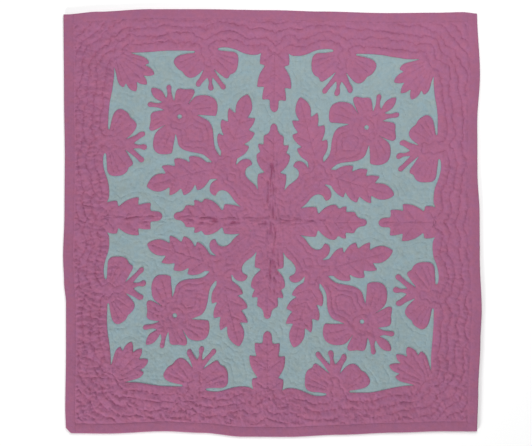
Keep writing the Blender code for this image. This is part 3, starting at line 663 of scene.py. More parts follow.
def border_pieces():
    """Outlines and quilting of what grows inward from the border, on the quilt."""
    shapes, channels = [], []
    bloom_shape, bloom_channels = half_bloom()
    fan_shape, fan_channels = fan()
    for quarter in range(4):
        root = Vector((0.0, FIELD))
        shapes.append(placed(leaf_outline(BORDER_LEAF), root, math.pi, quarter))
        channels += [placed(c, root, math.pi, quarter) for c in leaf_channels(BORDER_LEAF)]
        for side in (-1, 1):
            root = Vector((side * HALF_BLOOM_ASIDE, FIELD))
            heading = math.pi + side * HALF_BLOOM_LEAN
            shapes.append(placed(bloom_shape, root, heading, quarter, -side))
            channels += [placed(c, root, heading, quarter, -side) for c in bloom_channels]
        root = Vector((FIELD, FIELD))
        heading = math.radians(225)
        shapes.append(placed(fan_shape, root, heading, quarter))
        channels += [placed(c, root, heading, quarter) for c in fan_channels]
    return shapes, channels


def anticlockwise(points):
    area = sum(p.x * q.y - q.x * p.y for p, q in zip(points, points[1:] + points[:1]))
    return points if area > 0 else points[::-1]


Net = namedtuple("Net", "points triangles sources")


def netted(loops, lines=(), loose=()):
    """Triangles inside closed loops, with lines as edges and loose points as corners.

    Each triangle is with the set of the loops that it lies in, and each point with the number
    of the point that it was made from.
    """
    points, edges, faces = [], [], []
    for loop in loops:
        faces.append(list(range(len(points), len(points) + len(loop))))
        points += anticlockwise(loop)
    for line in lines:
        first = len(points)
        points += line
        edges += [(first + i, first + i + 1) for i in range(len(line) - 1)]
    points += loose
    made, _, triangles, origins, _, loops_in = delaunay_2d_cdt(points, edges, faces, 1, NEAR)
    sources = [ids[0] if ids else -1 for ids in origins]
    return Net(made, [(tuple(t), frozenset(o)) for t, o in zip(triangles, loops_in)], sources)


def boundary_loops(triangles):
    """Closed loops of point numbers round a set of triangles."""
    directed = {(t[i], t[(i + 1) % len(t)]) for t in triangles for i in range(len(t))}
    following = {a: b for a, b in directed if (b, a) not in directed}
    loops = []
    while following:
        start, point = following.popitem()
        loop = [start]
        while point != start:
            loop.append(point)
            point = following.pop(point)
        loops.append(loop)
    return loops


def joined(shapes, holes=()):
    """Outlines of overlapping shapes, once joined and the holes cut out."""
    net = netted(list(shapes) + list(holes))
    count = len(shapes)
    kept = [t for t, inside in net.triangles if inside and max(inside) < count]
    outlines = []
    for loop in boundary_loops(kept):
        outline = [net.points[loop[0]]]
        for i in loop[1:]:
            if (net.points[i] - outline[-1]).length > SHORTEST_EDGE:
                outline.append(net.points[i])
        if (outline[-1] - outline[0]).length < SHORTEST_EDGE:
            outline.pop()
        outlines.append(outline)
    return sorted(outlines, key=len, reverse=True)


def bulge(side, share):
    """How far an edge stands out of the plain rectangle there, from its table."""
    rows = EDGES[side]
    share = min(max(share, 0.0), 1.0)
    for low, high in zip(rows, rows[1:]):
        if share <= high.share:
            t = (share - low.share) / (high.share - low.share)
            t = t * t * (3 - 2 * t)
            return mm(low.out_mm + t * (high.out_mm - low.out_mm))
    return mm(rows[-1].out_mm)


def edge_x(side, y, inset):
    sign = -1 if side == "left" else 1
    return sign * (WIDTH / 2 + bulge(side, y / HEIGHT + 0.5) - inset)


def edge_y(side, x, inset):
    sign = -1 if side == "bottom" else 1
    return sign * (HEIGHT / 2 + bulge(side, x / WIDTH + 0.5) - inset)


def corner(across, up, inset):
    """The corner where a side edge and a top or bottom edge meet."""
    x, y = edge_x(across, 0.0, inset), edge_y(up, 0.0, inset)
    for _ in range(CORNER_PASSES):
        x, y = edge_x(across, y, inset), edge_y(up, x, inset)
    return Vector((x, y))


def edge_line(side, inset):
    """One uneven edge of the quilt, some way in, from its left or bottom corner to the other."""
    if side in ("bottom", "top"):
        start, end = corner("left", side, inset), corner("right", side, inset)
    else:
        start, end = corner(side, "bottom", inset), corner(side, "top", inset)
    points = [start]
    for i in range(1, EDGE_STATIONS):
        point = start.lerp(end, i / EDGE_STATIONS)
        if side in ("bottom", "top"):
            point.y = edge_y(side, point.x, inset)
        else:
            point.x = edge_x(side, point.y, inset)
        points.append(point)
    return points + [end]


def at_x(line, x):
    """The point of a line that runs left to right where it passes x."""
    for low, high in zip(line, line[1:]):
        if x <= high.x:
            break
    return low.lerp(high, (x - low.x) / (high.x - low.x))


def at_y(line, y):
    """The point of a line that runs upwards where it passes y."""
    for low, high in zip(line, line[1:]):
        if y <= high.y:
            break
    return low.lerp(high, (y - low.y) / (high.y - low.y))


def turned_in(inset):
    """The two ends of the turned-in bottom left corner, on the bottom edge and on the left one."""
    cut = max(CHAMFER - CHAMFER_LOSS * inset, CHAMFER_LEAST)
    bottom, left = edge_line("bottom", inset), edge_line("left", inset)
    return at_x(bottom, bottom[0].x + CHAMFER_LEAN * cut), at_y(left, left[0].y + cut)


def rim(inset):
    """The quilt's uneven outline, some way in, anticlockwise from the turned-in corner."""
    low, high = turned_in(inset)
    bottom, right = edge_line("bottom", inset), edge_line("right", inset)
    top, left = edge_line("top", inset), edge_line("left", inset)
    return [low] + bottom[1:] + right[1:] + top[-2::-1] + left[-2:0:-1] + [high]


def spaced(points, step, closed):
    """Points along a line, no more than a step apart."""
    ends = points[1:] + points[:1] if closed else points[1:]
    made = []
    for start, end in zip(points, ends):
        count = max(1, math.ceil((end - start).length / step))
        made += [start.lerp(end, i / count) for i in range(count)]
    return made if closed else made + [points[-1]]


def evenly(points, step, closed):
    """A line cut anew into equal steps."""
    flat = np.array([(p[0], p[1]) for p in points])
    if closed:
        flat = np.vstack([flat, flat[:1]])
    along = np.concatenate([[0.0], np.cumsum(np.hypot(*np.diff(flat, axis=0).T))])
    count = max(3 if closed else 1, round(along[-1] / step))
    places = np.linspace(0.0, along[-1], count + 1)
    cut = np.stack([np.interp(places, along, flat[:, k]) for k in (0, 1)], axis=1)
    return cut[:-1] if closed else cut


def hand_cut(loop):
    """A seam as hands leave it: evenly divided, its corners turned under softly, and unsteady."""
    points = evenly(loop, SEAM_STEP, True)
    for _ in range(CUT_ROUNDING):
        points = (np.roll(points, 1, 0) + 2 * points + np.roll(points, -1, 0)) / 4
    made = []
    for x, y in points:
        shake = noise.noise_vector(Vector((x, y, CUT_SEED)) / CUT_WAVE)
        made.append(Vector((x, y)) + CUT_WOBBLE * Vector((shake.x, shake.y)))
    return made


def tree_of(points):
    """A search tree over flat points."""
    tree = KDTree(len(points))
    for i, (x, y) in enumerate(points):
        tree.insert((x, y, 0.0), i)
    tree.balance()
    return tree


class Finder:
    """Finds how far the nearest of many lines is."""

    def __init__(self, loops, lines):
        runs = [spaced(loop, SOURCE_STEP, True) for loop in loops]
        runs += [spaced(line, SOURCE_STEP, False) for line in lines]
        self.tree = tree_of([point for run in runs for point in run])

    def distance(self, x, y):
        return self.tree.find((x, y, 0.0))[2]


def inside_loop(loop, x, y):
    """Whether each of many points lies inside a closed loop."""
    inside = np.zeros(x.shape, bool)
    for a, b in zip(loop, loop[1:] + loop[:1]):
        if a.y != b.y:
            passes = (a.y > y) != (b.y > y)
            inside ^= passes & (x < a.x + (y - a.y) / (b.y - a.y) * (b.x - a.x))
    return inside


def smooth(t):
    t = np.clip(t, 0.0, 1.0)
    return t * t * (3.0 - 2.0 * t)


def contours(rows, level):
    """Lines of a grid of row numbers that keep to one level, in grid steps."""
    above = rows >= level
    known = ~np.isnan(rows)
    sides = {}
    whole = known[:-1, :-1] & known[1:, :-1] & known[:-1, 1:] & known[1:, 1:]
    low, right = above[:-1, :-1] != above[1:, :-1], above[1:, :-1] != above[1:, 1:]
    high, left = above[:-1, 1:] != above[1:, 1:], above[:-1, :-1] != above[:-1, 1:]
    for i, j in zip(*np.nonzero(whole & (low | right | high | left))):
        around = (
            (low, (i, j, 0)), (right, (i + 1, j, 1)), (high, (i, j + 1, 0)), (left, (i, j, 1)),
        )
        passed = [side for crossed, side in around if crossed[i, j]]
        for one, other in zip(passed[::2], passed[1::2]):
            sides.setdefault(one, []).append(other)
            sides.setdefault(other, []).append(one)
    lines = []
    for start in sorted(sides, key=lambda side: len(sides[side])):
        chain = [start]
        while sides[chain[-1]]:
            following = sides[chain[-1]].pop()
            sides[following].remove(chain[-1])
            chain.append(following)
        if len(chain) >= LEAST_CHAIN:
            line = []
            for i, j, upward in chain:
                here, there = rows[i, j], rows[i + (1 - upward), j + upward]
                share = (level - here) / (there - here)
                line.append((i + share * (1 - upward), j + share * upward))
            lines.append(line)
    return lines


Rows = namedtuple("Rows", "number pitch")


def row_grid(outer, field, seams, every):
    """The quilting's row number at each point of a square grid, and the pitch there.

    Rows are counted from the nearest seam or quilted line in the field, and from the nearest
    seam in the border.
    """
    count = round(GRID_REACH / GRID)
    places = np.arange(-count, count + 1) * GRID
    x, y = np.meshgrid(places, places, indexing="ij")
    number, pitch = np.full(x.shape, np.nan), np.full(x.shape, np.nan)
    inside = inside_loop(field, x, y)
    edge = Finder([field], [])
    beside = np.abs(np.maximum(np.abs(x), np.abs(y)) - FIELD) < CHANGE_SEARCH
    for i, j in zip(*np.nonzero(inside_loop(outer, x, y))):
        here = (x[i, j], y[i, j])
        if beside[i, j]:
            out = edge.distance(*here) * (-1 if inside[i, j] else 1)
        else:
            out = -CHANGE if inside[i, j] else CHANGE
        share = min(max((out + CHANGE) / (2 * CHANGE), 0.0), 1.0)
        share = share * share * (3.0 - 2.0 * share)
        inner = every.distance(*here) if share < 1 else 0.0
        beyond = seams.distance(*here) if share > 0 else 0.0
        pitch[i, j] = FIELD_PITCH + share * (BORDER_PITCH - FIELD_PITCH)
        number[i, j] = ((1 - share) * inner + share * beyond) / pitch[i, j]
    number = blunted(number, pitch)
    known = ~np.isnan(number).ravel()
    spots = np.column_stack([x.ravel(), y.ravel()])[known]
    shaken = sum(shake.rows * grain(spots, shake.wave, shake.seed) for shake in SHAKES)
    flat = number.reshape(-1)
    flat[known] += shaken * smooth(flat[known] / SHAKE_START)
    return Rows(flat.reshape(number.shape), pitch)


def blunted(number, pitch):
    """Row numbers with no row that is too narrow to quilt: its place stays puffed up."""
    known = ~np.isnan(number)
    apart = np.where(known, number * pitch, NO_ROW)
    widest = apart.copy()
    reach = range(-BLUNT_STEPS, BLUNT_STEPS + 1)
    for i, j in ((i, j) for i in reach for j in reach if i * i + j * j <= BLUNT_STEPS ** 2 + 1):
        widest = np.maximum(widest, np.roll(apart, (i, j), (0, 1)))
    opened = np.maximum((widest - BLUNT * GRID) / np.where(known, pitch, 1.0), HALF_ROW)
    made = np.where(known, np.where(number < HALF_ROW, number, opened), NO_ROW)
    for row in range(MOST_ROWS, 0, -1):
        waiting = made > row - HALF_ROW
        for start in zip(*np.nonzero(waiting)):
            if not waiting[start]:
                continue
            waiting[start] = False
            island = [start]
            for i, j in island:
                for beside in ((i + 1, j), (i - 1, j), (i, j + 1), (i, j - 1)):
                    if waiting[beside]:
                        waiting[beside] = False
                        island.append(beside)
            places = tuple(np.array(island).T)
            if made[places].max() < row + LEAST_RISE:
                made[places] = row - HALF_ROW
    return np.where(known, made, np.nan)


def grid_value(grid, x, y):
    """A value between the points of a square grid, 0 where the grid has none."""
    half = (grid.shape[0] - 1) / 2
    u = np.clip(x / GRID + half, 0, grid.shape[0] - GRID_END)
    v = np.clip(y / GRID + half, 0, grid.shape[1] - GRID_END)
    i, j = u.astype(int), v.astype(int)
    u, v = u - i, v - j
    low = grid[i, j] * (1 - u) + grid[i + 1, j] * u
    high = grid[i, j + 1] * (1 - u) + grid[i + 1, j + 1] * u
    return low * (1 - v) + high * v


def beside_line(line, closed, offset):
    """Points set off both sides of a line, one for each of its own."""
    flat = np.array([(p[0], p[1]) for p in line])
    if closed:
        ahead = np.roll(flat, -1, 0) - np.roll(flat, 1, 0)
    else:
        ahead = np.gradient(flat, axis=0)
    ahead /= np.hypot(*ahead.T)[:, None] + LEAST_LENGTH
    aside = np.stack([ahead[:, 1], -ahead[:, 0]], axis=1) * offset
    return np.vstack([flat + aside, flat - aside])


def row_points(rows, levels, step, where):
    """Points on the lines of some row levels, with the level of each, where a test allows them.

    The two lowest levels of the first row lie on the seams themselves, so they are left out. The
    valleys, each with what the test says of its points, are given too.
    """
    half = (rows.number.shape[0] - 1) / 2
    points, numbers, valleys = [], [], []
    for number in range(MOST_ROWS):
        for part in levels:
            level = number + part
            if level < levels[2]:
                continue
            for line in contours(rows.number, level):
                line = evenly((np.array(line) - half) * GRID, step, False)
                allowed = where(line[:, 0], line[:, 1])
                points += [Vector(p) for p in line[allowed]]
                numbers += [level] * int(allowed.sum())
                if part == 0.0:
                    valleys.append((line, allowed))
    return points, numbers, valleys


Plan = namedtuple("Plan", "place row nearest seam regions lines rows valleys")


@lru_cache(maxsize=1)
def plan():
    """The whole quilt seen from above, worked out once for all its cloths."""
    shapes, holes, medallion_lines = medallion_pieces()
    medallion = [hand_cut(loop) for loop in joined(shapes, holes)]
    shapes, border_lines = border_pieces()
    field = [settle(p) for p in field_outline()]
    window = hand_cut(joined([field], shapes)[0])
    lines = []
    for line in medallion_lines + border_lines:
        lines.append([Vector(p) for p in evenly(line, SEAM_STEP, False)])

    outer = rim(BINDING_WALL + GAP)
    loops = [outer, window] + medallion
    every = Finder(loops[1:], lines)
    seams = Finder(loops[1:], [])
    rows = row_grid(outer, field, seams, every)
    shown = rim(BINDING_WIDTH - UNDER_BINDING)

    loose, numbers = [], []
    runs = [(loop, True) for loop in loops[1:]] + [(line, False) for line in lines]
    for offset in ROLLED:
        for run, closed in runs:
            for x, y in beside_line(run, closed, offset):
                if every.distance(x, y) > ROLLED_CLEAR * offset:
                    loose.append(Vector((x, y)))
                    numbers.append(NO_ROW)

    def dense(x, y):
        return grid_value(rows.pitch, x, y) < (FIELD_PITCH + BORDER_PITCH) / 2

    def open_border(x, y):
        return ~dense(x, y) & inside_loop(shown, x, y)

    valleys = []
    for levels, step, where in (
        (FIELD_LEVELS, FIELD_STEP, dense), (BORDER_LEVELS, BORDER_STEP, open_border),
    ):
        points, levels_there, found = row_points(rows, levels, step, where)
        loose += points
        numbers += levels_there
        valleys += found
    fixed = sum(len(loop) for loop in loops) + sum(len(line) for line in lines)
    net = netted(loops, lines, loose)

    place = np.array([(p.x, p.y) for p in net.points])
    distance = np.array([every.distance(x, y) for x, y in place])
    seam = np.array([
        seams.distance(x, y) if d < CLOSE else CLOSE for (x, y), d in zip(place, distance)
    ])
    row = grid_value(np.nan_to_num(rows.number), *place.T)
    for i, source in enumerate(net.sources):
        if source >= fixed and numbers[source - fixed] >= 0:
            row[i] = numbers[source - fixed]
        elif distance[i] < CLOSE:
            row[i] = distance[i] / FIELD_PITCH
    regions = {"border": [], "medallion": [], "ground": []}
    for triangle, inside in net.triangles:
        if 1 not in inside:
            regions["border"].append(triangle)
        elif 2 in inside and max(inside) == 2:
            regions["medallion"].append(triangle)
        else:
            regions["ground"].append(triangle)
    return Plan(place, row, distance, seam, regions, lines, rows, valleys)


def area_of(points):
    return sum(p[0] * q[1] - q[0] * p[1] for p, q in zip(points, points[1:] + points[:1])) / 2


Flat = namedtuple("Flat", "place sources border medallion")


@lru_cache(maxsize=1)
def flat_seat():
    """The flat net under the sewn-on cloths, on the very points of their edges."""
    drawn = plan()
    loops = []
    for region in ("border", "medallion"):
        made = []
        for loop in boundary_loops(drawn.regions[region]):
            points = [tuple(drawn.place[i]) for i in loop]
            area = area_of(points)
            made.append((abs(area), loop if area > 0 else loop[::-1]))
        loops += [loop for _, loop in sorted(made, key=lambda pair: -pair[0])]
    ids = [i for loop in loops for i in loop]
    outlines = [[Vector(drawn.place[i]) for i in loop] for loop in loops]
    edges = Finder(outlines, [])
    count = int(GRID_REACH / FLAT_STEP)
    places = np.arange(-count, count + 1) * FLAT_STEP
    x, y = np.meshgrid(places, places, indexing="ij")
    inside = inside_loop(outlines[0], x, y)
    loose = [
        Vector(p) for p in zip(x[inside], y[inside]) if edges.distance(*p) > FLAT_CLEAR
    ]
    net = netted(outlines, (), loose)
    sources = [ids[s] if 0 <= s < len(ids) else -1 for s in net.sources]
    border = [t for t, inside in net.triangles if 1 not in inside]
    medallion = [t for t, inside in net.triangles if 2 in inside and max(inside) == 2]
    place = np.array([(p.x, p.y) for p in net.points])
    return Flat(place, sources, border, medallion)


def grain(place, wave, seed):
    """Smooth unevenness from -1 to 1 over many places."""
    return np.array([noise.noise(Vector((x / wave, y / wave, seed))) for x, y in place])


def bold_grain(place, wave, seed, gain):
    """Smooth unevenness that reaches -1 and 1 in many places."""
    return np.clip(gain * grain(place, wave, seed), -1, 1)


def crown(row):
    """How high the cloth puffs between two rows of quilting, from 0 at a row to 1."""
    return np.sin(math.pi * (row - np.floor(row))) ** CROWN_POWER


def inset_fade(place, start, end):
    """0 nearer to the quilt's edge than start, and 1 further in than end."""
    edge = Finder([rim(0.0)], [])
    inset = np.array([edge.distance(x, y) for x, y in place])
    return smooth((inset - start) / (end - start))


def ease(place):
    """How far the cloth lies off the surface where it isn't pulled quite flat."""
    raised = EASE * (0.5 + 0.5 * bold_grain(place, EASE_WAVE, EASE_SEED, EASE_GAIN))
    return raised * inset_fade(place, BINDING_WIDTH + FADE, EASE_END)


def beside_fold(place, fold, reach):
    """Which places lie beside a fold, how far along and aside, and its strength there."""
    start, end = np.array(fold.start), np.array(fold.end)
    length = np.hypot(*(end - start))
    ahead = (end - start) / length
    along = (place - start) @ ahead
    aside = (place - start) @ np.array([-ahead[1], ahead[0]])
    near = (np.abs(along / length - 0.5) < 0.5) & (np.abs(aside) < reach)
    ends = smooth((0.5 - np.abs(along[near] / length - 0.5)) / FOLD_END)
    return near, along[near], aside[near], ends


def folded(place):
    """How far old folds raise or press the cloth: bands of wrinkles, and creases in them."""
    total = np.zeros(len(place))
    for i, fold in enumerate(FOLDS):
        half = mm(fold.half_mm)
        near, along, aside, ends = beside_fold(place, fold, FOLD_REACH * half)
        spots = np.stack([along / FOLD_STRETCH, aside], 1)
        wrinkles = bold_grain(spots, FOLD_WAVE, FOLD_SEED + i, FOLD_GAIN)
        band = np.exp(-(aside / half) ** 2) * ends
        total[near] += mm(fold.depth_mm) * band * wrinkles
    for crease in CREASES:
        half = mm(crease.half_mm)
        reach = CREASE_REACH * half + CREASE_STRAY
        near, along, aside, ends = beside_fold(place, crease, reach)
        spots = np.stack([along, along], 1)
        strayed = aside + CREASE_STRAY * grain(spots, CREASE_WAVE, CREASE_STRAY_SEED)
        broken = CREASE_SHARE + CREASE_BREAKS * grain(spots, CREASE_WAVE, CREASE_BREAK_SEED)
        total[near] -= mm(crease.depth_mm) * ends * broken * np.exp(-(strayed / half) ** 2)
    return total


def puckers():
    """Small ridges from -1 to 1 that run across the quilting rows, as drawn thread makes them."""
    drawn = plan()
    distance = np.nan_to_num(drawn.rows.number * drawn.rows.pitch)
    steep = np.stack([grid_value(slope, *drawn.place.T) for slope in np.gradient(distance)], 1)
    steep /= np.hypot(*steep.T)[:, None] + LEAST_SLOPE
    level_rows = np.abs(steep[:, 1]) > STREAKS_TURN
    steep[level_rows] = steep[level_rows][:, ::-1] * (1, -1)
    slant = PUCKER_SLANT * grain(drawn.place, SLANT_WAVE, SLANT_SEED)
    across = np.stack([
        steep[:, 0] * np.cos(slant) - steep[:, 1] * np.sin(slant),
        steep[:, 0] * np.sin(slant) + steep[:, 1] * np.cos(slant)], 1)
    total = PUCKER_LOOSE * grain(drawn.place, PUCKER_WAVE, PUCKER_LOOSE_SEED)
    for k in PUCKER_TAPS:
        reached = drawn.place + across * (k * PUCKER_WAVE)
        total += grain(reached, PUCKER_WAVE, PUCKER_SEED) / len(PUCKER_TAPS)
    return np.clip(PUCKER_GAIN * total, -1, 1)


# hollow: the painted shade of each point, from 0 to 1
Relief = namedtuple("Relief", "puff hollow lift")


@lru_cache(maxsize=1)
def relief():
    """How far each point of the plan is puffed and lifted, and how deep in a valley it is, which
    sets the painted shade there.
    """
    drawn = plan()
    place = drawn.place
    fade = inset_fade(place, BINDING_WIDTH, BINDING_WIDTH + FADE)
    clean = 1 - np.exp(-(drawn.seam / SEAM_CLEAN) ** 2)
    pitch = grid_value(drawn.rows.pitch, *place.T)
    open_share = smooth(np.nan_to_num((pitch - FIELD_PITCH) / (BORDER_PITCH - FIELD_PITCH)))

    veined = smooth((drawn.seam - drawn.nearest) / CLOSE) * (1 - smooth(drawn.nearest / CLOSE))
    calm = CENTRE_CALM * np.exp(-(np.hypot(*place.T) / CENTRE_REACH) ** 2)
    puffed = 1 - (1 - crown(drawn.row)) * (1 - VEIN_SOFT * veined) * (1 - calm)
    slack = 1 + TENSION * bold_grain(place, TENSION_WAVE, TENSION_SEED, TENSION_GAIN)

    x, y = place.T
    crushed = CRUSHED[0] + CRUSHED[1] * x / WIDTH + CRUSHED[2] * y / HEIGHT
    drawn_up = PUCKER * (PUCKER_IN_FIELD + (1 - PUCKER_IN_FIELD) * open_share)
    drawn_up = drawn_up * crushed * clean * puckers()
    folds = clean * folded(place)
    raised = PUFF * puffed * slack + drawn_up + folds

    # Painted shade: darkest in row valleys, under puckers and in folds, weaker in the field, none
    # by seams or the edge
    painted_shade_mask = np.hypot(ROW_DEEP * (1 - puffed), PUCKER_DEEP * np.clip(-drawn_up / PUCKER, 0, 1))
    painted_shade_mask *= DEEP_IN_FIELD + (1 - DEEP_IN_FIELD) * open_share
    painted_shade_mask = np.maximum(painted_shade_mask, FOLD_DEEP * np.clip(-folds / mm(FOLD_DARK_MM), 0, 1))
    return Relief(fade * np.maximum(raised, PUCKER_LEAST), painted_shade_mask * fade * clean, ease(place))


def linked(name, data):
    """A new object of the scene that holds some data."""
    made = bpy.data.objects.new(name, data)
    bpy.context.scene.collection.objects.link(made)
    return made


def solid(name, place, faces, material, hollow=None):
    """A closed mesh as an object of its own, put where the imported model's is."""
    mesh = bpy.data.meshes.new(name)
    middle = quilt_middle()
    moved = place + np.array([middle.x, middle.y, 0.0])
    mesh.from_pydata(moved.tolist(), [], faces)
    mesh.validate()
    mesh.polygons.foreach_set("use_smooth", [True] * len(mesh.polygons))
    # The hollow attribute holds the painted shade that the cotton material darkens the cloth by
    if hollow is not None:
        layer = mesh.attributes.new("hollow", "FLOAT", "POINT")
        layer.data.foreach_set("value", hollow)
    mesh.materials.append(material)
    return linked(name, mesh)


@lru_cache(maxsize=1)
def quilt_middle():
    """What centres the quilt, as in the part."""
    outline = rim(0.0)
    x, y = [p.x for p in outline], [p.y for p in outline]
    return Vector((-(min(x) + max(x)) / 2, -(min(y) + max(y)) / 2))


def rolled(distance):
    """How thick a sewn-on cloth is that far from its folded edge."""
    left = 1 - np.clip(distance / FOLD, 0, 1)
    return FOLD_THICK + (CLOTH_THICK - FOLD_THICK) * np.sqrt(1 - left ** 2)


def face_height(region, points):
    """How high a cloth's face is at some points of the plan."""
    drawn, raised = plan(), relief()
    if region == "ground":
        return SEAT + raised.lift[points] + GROUND_SHARE * raised.puff[points]
    base = SEAT + OFF_SEAT + raised.lift[points]
    return base + rolled(drawn.seam[points]) + raised.puff[points]


def sewn_cloth(name, region, material):
    """A sewn-on cloth: a puffed and quilted top, a rolled edge, and an underside on its seat."""
    drawn, seat = plan(), flat_seat()
    top, under = drawn.regions[region], getattr(seat, region)
    used = sorted({i for t in top for i in t})
    low_used = sorted({i for t in under for i in t})
    number = {i: k for k, i in enumerate(used)}
    low_number = {i: len(used) + k for k, i in enumerate(low_used)}
    by_edge = {seat.sources[i]: low_number[i] for i in low_used if seat.sources[i] >= 0}
    faces = [tuple(number[i] for i in t) for t in top]
    faces += [tuple(low_number[i] for i in t[::-1]) for t in under]
    for loop in boundary_loops(top):
        for a, b in zip(loop, loop[1:] + loop[:1]):
            faces.append((by_edge[a], by_edge[b], number[b], number[a]))
    high_place = np.column_stack([drawn.place[used], face_height(region, used)])
    low_height = SEAT + OFF_SEAT + seat_lift()[low_used]
    low_place = np.column_stack([seat.place[low_used], low_height])
    # Painted shade in the top's valleys, none on the underside
    hollow = np.concatenate([relief().hollow[used], np.zeros(len(low_used))])
    return solid(name, np.vstack([high_place, low_place]), faces, material, hollow)


def stitch_ends(region):
    """Pairs of points of the plan, along the quilting lines, that running stitches span."""
    drawn = plan()
    inside = np.zeros(len(drawn.place), bool)
    inside[np.unique(np.array(drawn.regions[region]))] = True
    inside &= drawn.seam > STITCH_CLEAR
    tree = tree_of(drawn.place)
    runs = [line[allowed] for line, allowed in drawn.valleys]
    runs += [np.array([tuple(p) for p in line]) for line in drawn.lines]
    pairs = []
    for run in runs:
        near = [tree.find((x, y, 0.0)) for x, y in run]
        for (_, a, off), (_, b, away) in zip(near[::2], near[1::2]):
            if max(off, away) < STITCH_OFF and inside[a] and inside[b] and a != b:
                if np.hypot(*(drawn.place[a] - drawn.place[b])) < STITCH_MOST:
                    pairs.append((a, b))
    return np.array(pairs)


def stitches(name, region, material):
    """Running stitches in the valleys of a cloth: each one shows as a short plump grain."""
    drawn = plan()
    a, b = stitch_ends(region).T
    ends = [np.column_stack([drawn.place[i], face_height(region, i)]) for i in (a, b)]
    middle = (ends[0] + ends[1]) / 2 + (0, 0, STITCH_PROUD)
    along = (ends[1] - ends[0]) * STITCH_SHARE / 2
    aside = np.cross((0, 0, 1), along)
    aside *= STITCH_WIDE / 2 / np.linalg.norm(aside, axis=1)[:, None]
    above = np.cross(along, aside)
    above *= STITCH_TALL / 2 / np.linalg.norm(above, axis=1)[:, None]
    grain_shape = bmesh.new()
    bmesh.ops.create_icosphere(grain_shape, subdivisions=1, radius=1.0)
    round_points = np.array([v.co for v in grain_shape.verts])
    sides = np.array([[v.index for v in f.verts] for f in grain_shape.faces])
    grain_shape.free()
    axes = np.stack([along, aside, above], 1)
    place = (middle[:, None, :] + round_points @ axes).reshape(-1, 3)
    starts = np.arange(len(middle))[:, None, None] * len(round_points)
    faces = (starts + sides).reshape(-1, 3).tolist()
    return solid(name, place, faces, material)


@lru_cache(maxsize=1)
def seat_lift():
    """How far the flat net is lifted, the same at the cloths' edges as the plan is."""
    seat, raised = flat_seat(), relief()
    lift = ease(seat.place)
    for i, source in enumerate(seat.sources):
        if source >= 0:
            lift[i] = raised.lift[source]
    return lift


def quilted_back(outer):
    """The body's underside inside its outline: a rebated rim, shallow quilting, and the painted
    shade of its valleys.
    """
    under = BINDING_WIDTH + BESIDE
    ledge, foot = rim(under), rim(under + REBATE_SLOPE)
    inside = rim(under + REBATE_SLOPE + BACK_STEP / 2)

    def on_back(x, y):
        return inside_loop(inside, x, y)

    loose, numbers, _ = row_points(plan().rows, BACK_LEVELS, BACK_STEP, on_back)
    net = netted([outer, ledge, foot], (), loose)
    back = np.array([(p.x, p.y) for p in net.points])
    first = len(outer) + len(ledge)
    fixed = first + len(foot)
    row = np.zeros(len(back))
    for i, source in enumerate(net.sources):
        if source >= fixed:
            row[i] = numbers[source - fixed]
    fade = inset_fade(back, under + REBATE_SLOPE, under + REBATE_SLOPE + FADE)
    low = np.where(np.array(net.sources) < first, REBATE, BACK_DIP * (1 - crown(row)) * fade)
    # The third value is the painted shade in the back's quilting valleys
    return net, np.column_stack([back, low]), (1 - crown(row)) * fade


def body_cloth(name, material):
    """The quilted sandwich: the ground's face, a flat seat, a rebated rim and a quilted back."""
    drawn, raised, seat = plan(), relief(), flat_seat()
    ground = drawn.regions["ground"]
    outlines = boundary_loops(drawn.regions["border"])
    rim_ids = max(outlines, key=lambda loop: abs(area_of([tuple(drawn.place[i]) for i in loop])))
    used = sorted({i for t in ground for i in t} | {s for s in seat.sources if s >= 0})
    inner = [i for i, s in enumerate(seat.sources) if s < 0]
    number = {i: k for k, i in enumerate(used)}
    flat_number = {i: len(used) + k for k, i in enumerate(inner)}
    for i, source in enumerate(seat.sources):
        if source >= 0:
            flat_number[i] = number[source]
    faces = [tuple(number[i] for i in t) for t in ground]
    faces += [tuple(flat_number[i] for i in t) for t in seat.border + seat.medallion]

    net, low_place, back_painted_shade = quilted_back([Vector(drawn.place[i]) for i in rim_ids])
    start = len(used) + len(inner)
    faces += [tuple(start + i for i in t[::-1]) for t, _ in net.triangles]
    lower = {s: start + i for i, s in enumerate(net.sources) if 0 <= s < len(rim_ids)}
    for k, a in enumerate(rim_ids):
        after = (k + 1) % len(rim_ids)
        faces.append((lower[k], lower[after], number[rim_ids[after]], number[a]))

    in_ground = np.isin(used, np.unique(np.array(ground)))
    high = np.where(in_ground, face_height("ground", used), SEAT + raised.lift[used])
    high_place = np.column_stack([drawn.place[used], high])
    seat_place = np.column_stack([seat.place[inner], SEAT + seat_lift()[inner]])
    place = np.vstack([high_place, seat_place, low_place])
    # Painted shade in the valleys of the ground's face and of the back
    hollow = np.concatenate([raised.hollow[used], np.zeros(len(inner)), back_painted_shade])
    return solid(name, place, faces, material, hollow)


def strip_profile():
    """The folded binding's cross-section: (inset, height, how much of it dips at the seam)."""
    low, high = STRIP_SLOT
    lip = BINDING_WIDTH - STRIP_NIP
    angles = [math.radians(90 * i / STRIP_ROUND_STEPS) for i in range(STRIP_ROUND_STEPS + 1)]
    section = [(BINDING_WIDTH, STRIP_TOP - STRIP_NIP, 1.0), (lip, STRIP_TOP, 1.0)]
    section += [(bend.inset, STRIP_TOP, bend.dip) for bend in STRIP_FACE]
    for angle in angles:
        inset, drop = STRIP_ROUND * (1 - math.sin(angle)), STRIP_ROUND * (1 - math.cos(angle))
        section.append((inset, STRIP_TOP - drop, 0.0))
    for angle in angles:
        inset, height = STRIP_ROUND * (1 - math.cos(angle)), STRIP_ROUND * (1 - math.sin(angle))
        section.append((inset, height, 0.0))
    section += [(bend.inset, 0.0, bend.dip) for bend in STRIP_UNDERSIDE]
    section += [(lip, 0.0, 0.0), (BINDING_WIDTH, STRIP_NIP, 0.0)]
    section += [(BINDING_WIDTH, low - STRIP_NIP, 0.0), (lip, low, 0.0)]
    section += [(bend.inset, low, bend.dip) for bend in STRIP_LOW_LINING]
    section += [(bend.inset, high, bend.dip) for bend in STRIP_HIGH_LINING]
    return section + [(BINDING_WIDTH, high + STRIP_NIP, STRIP_LIP_DIP)]


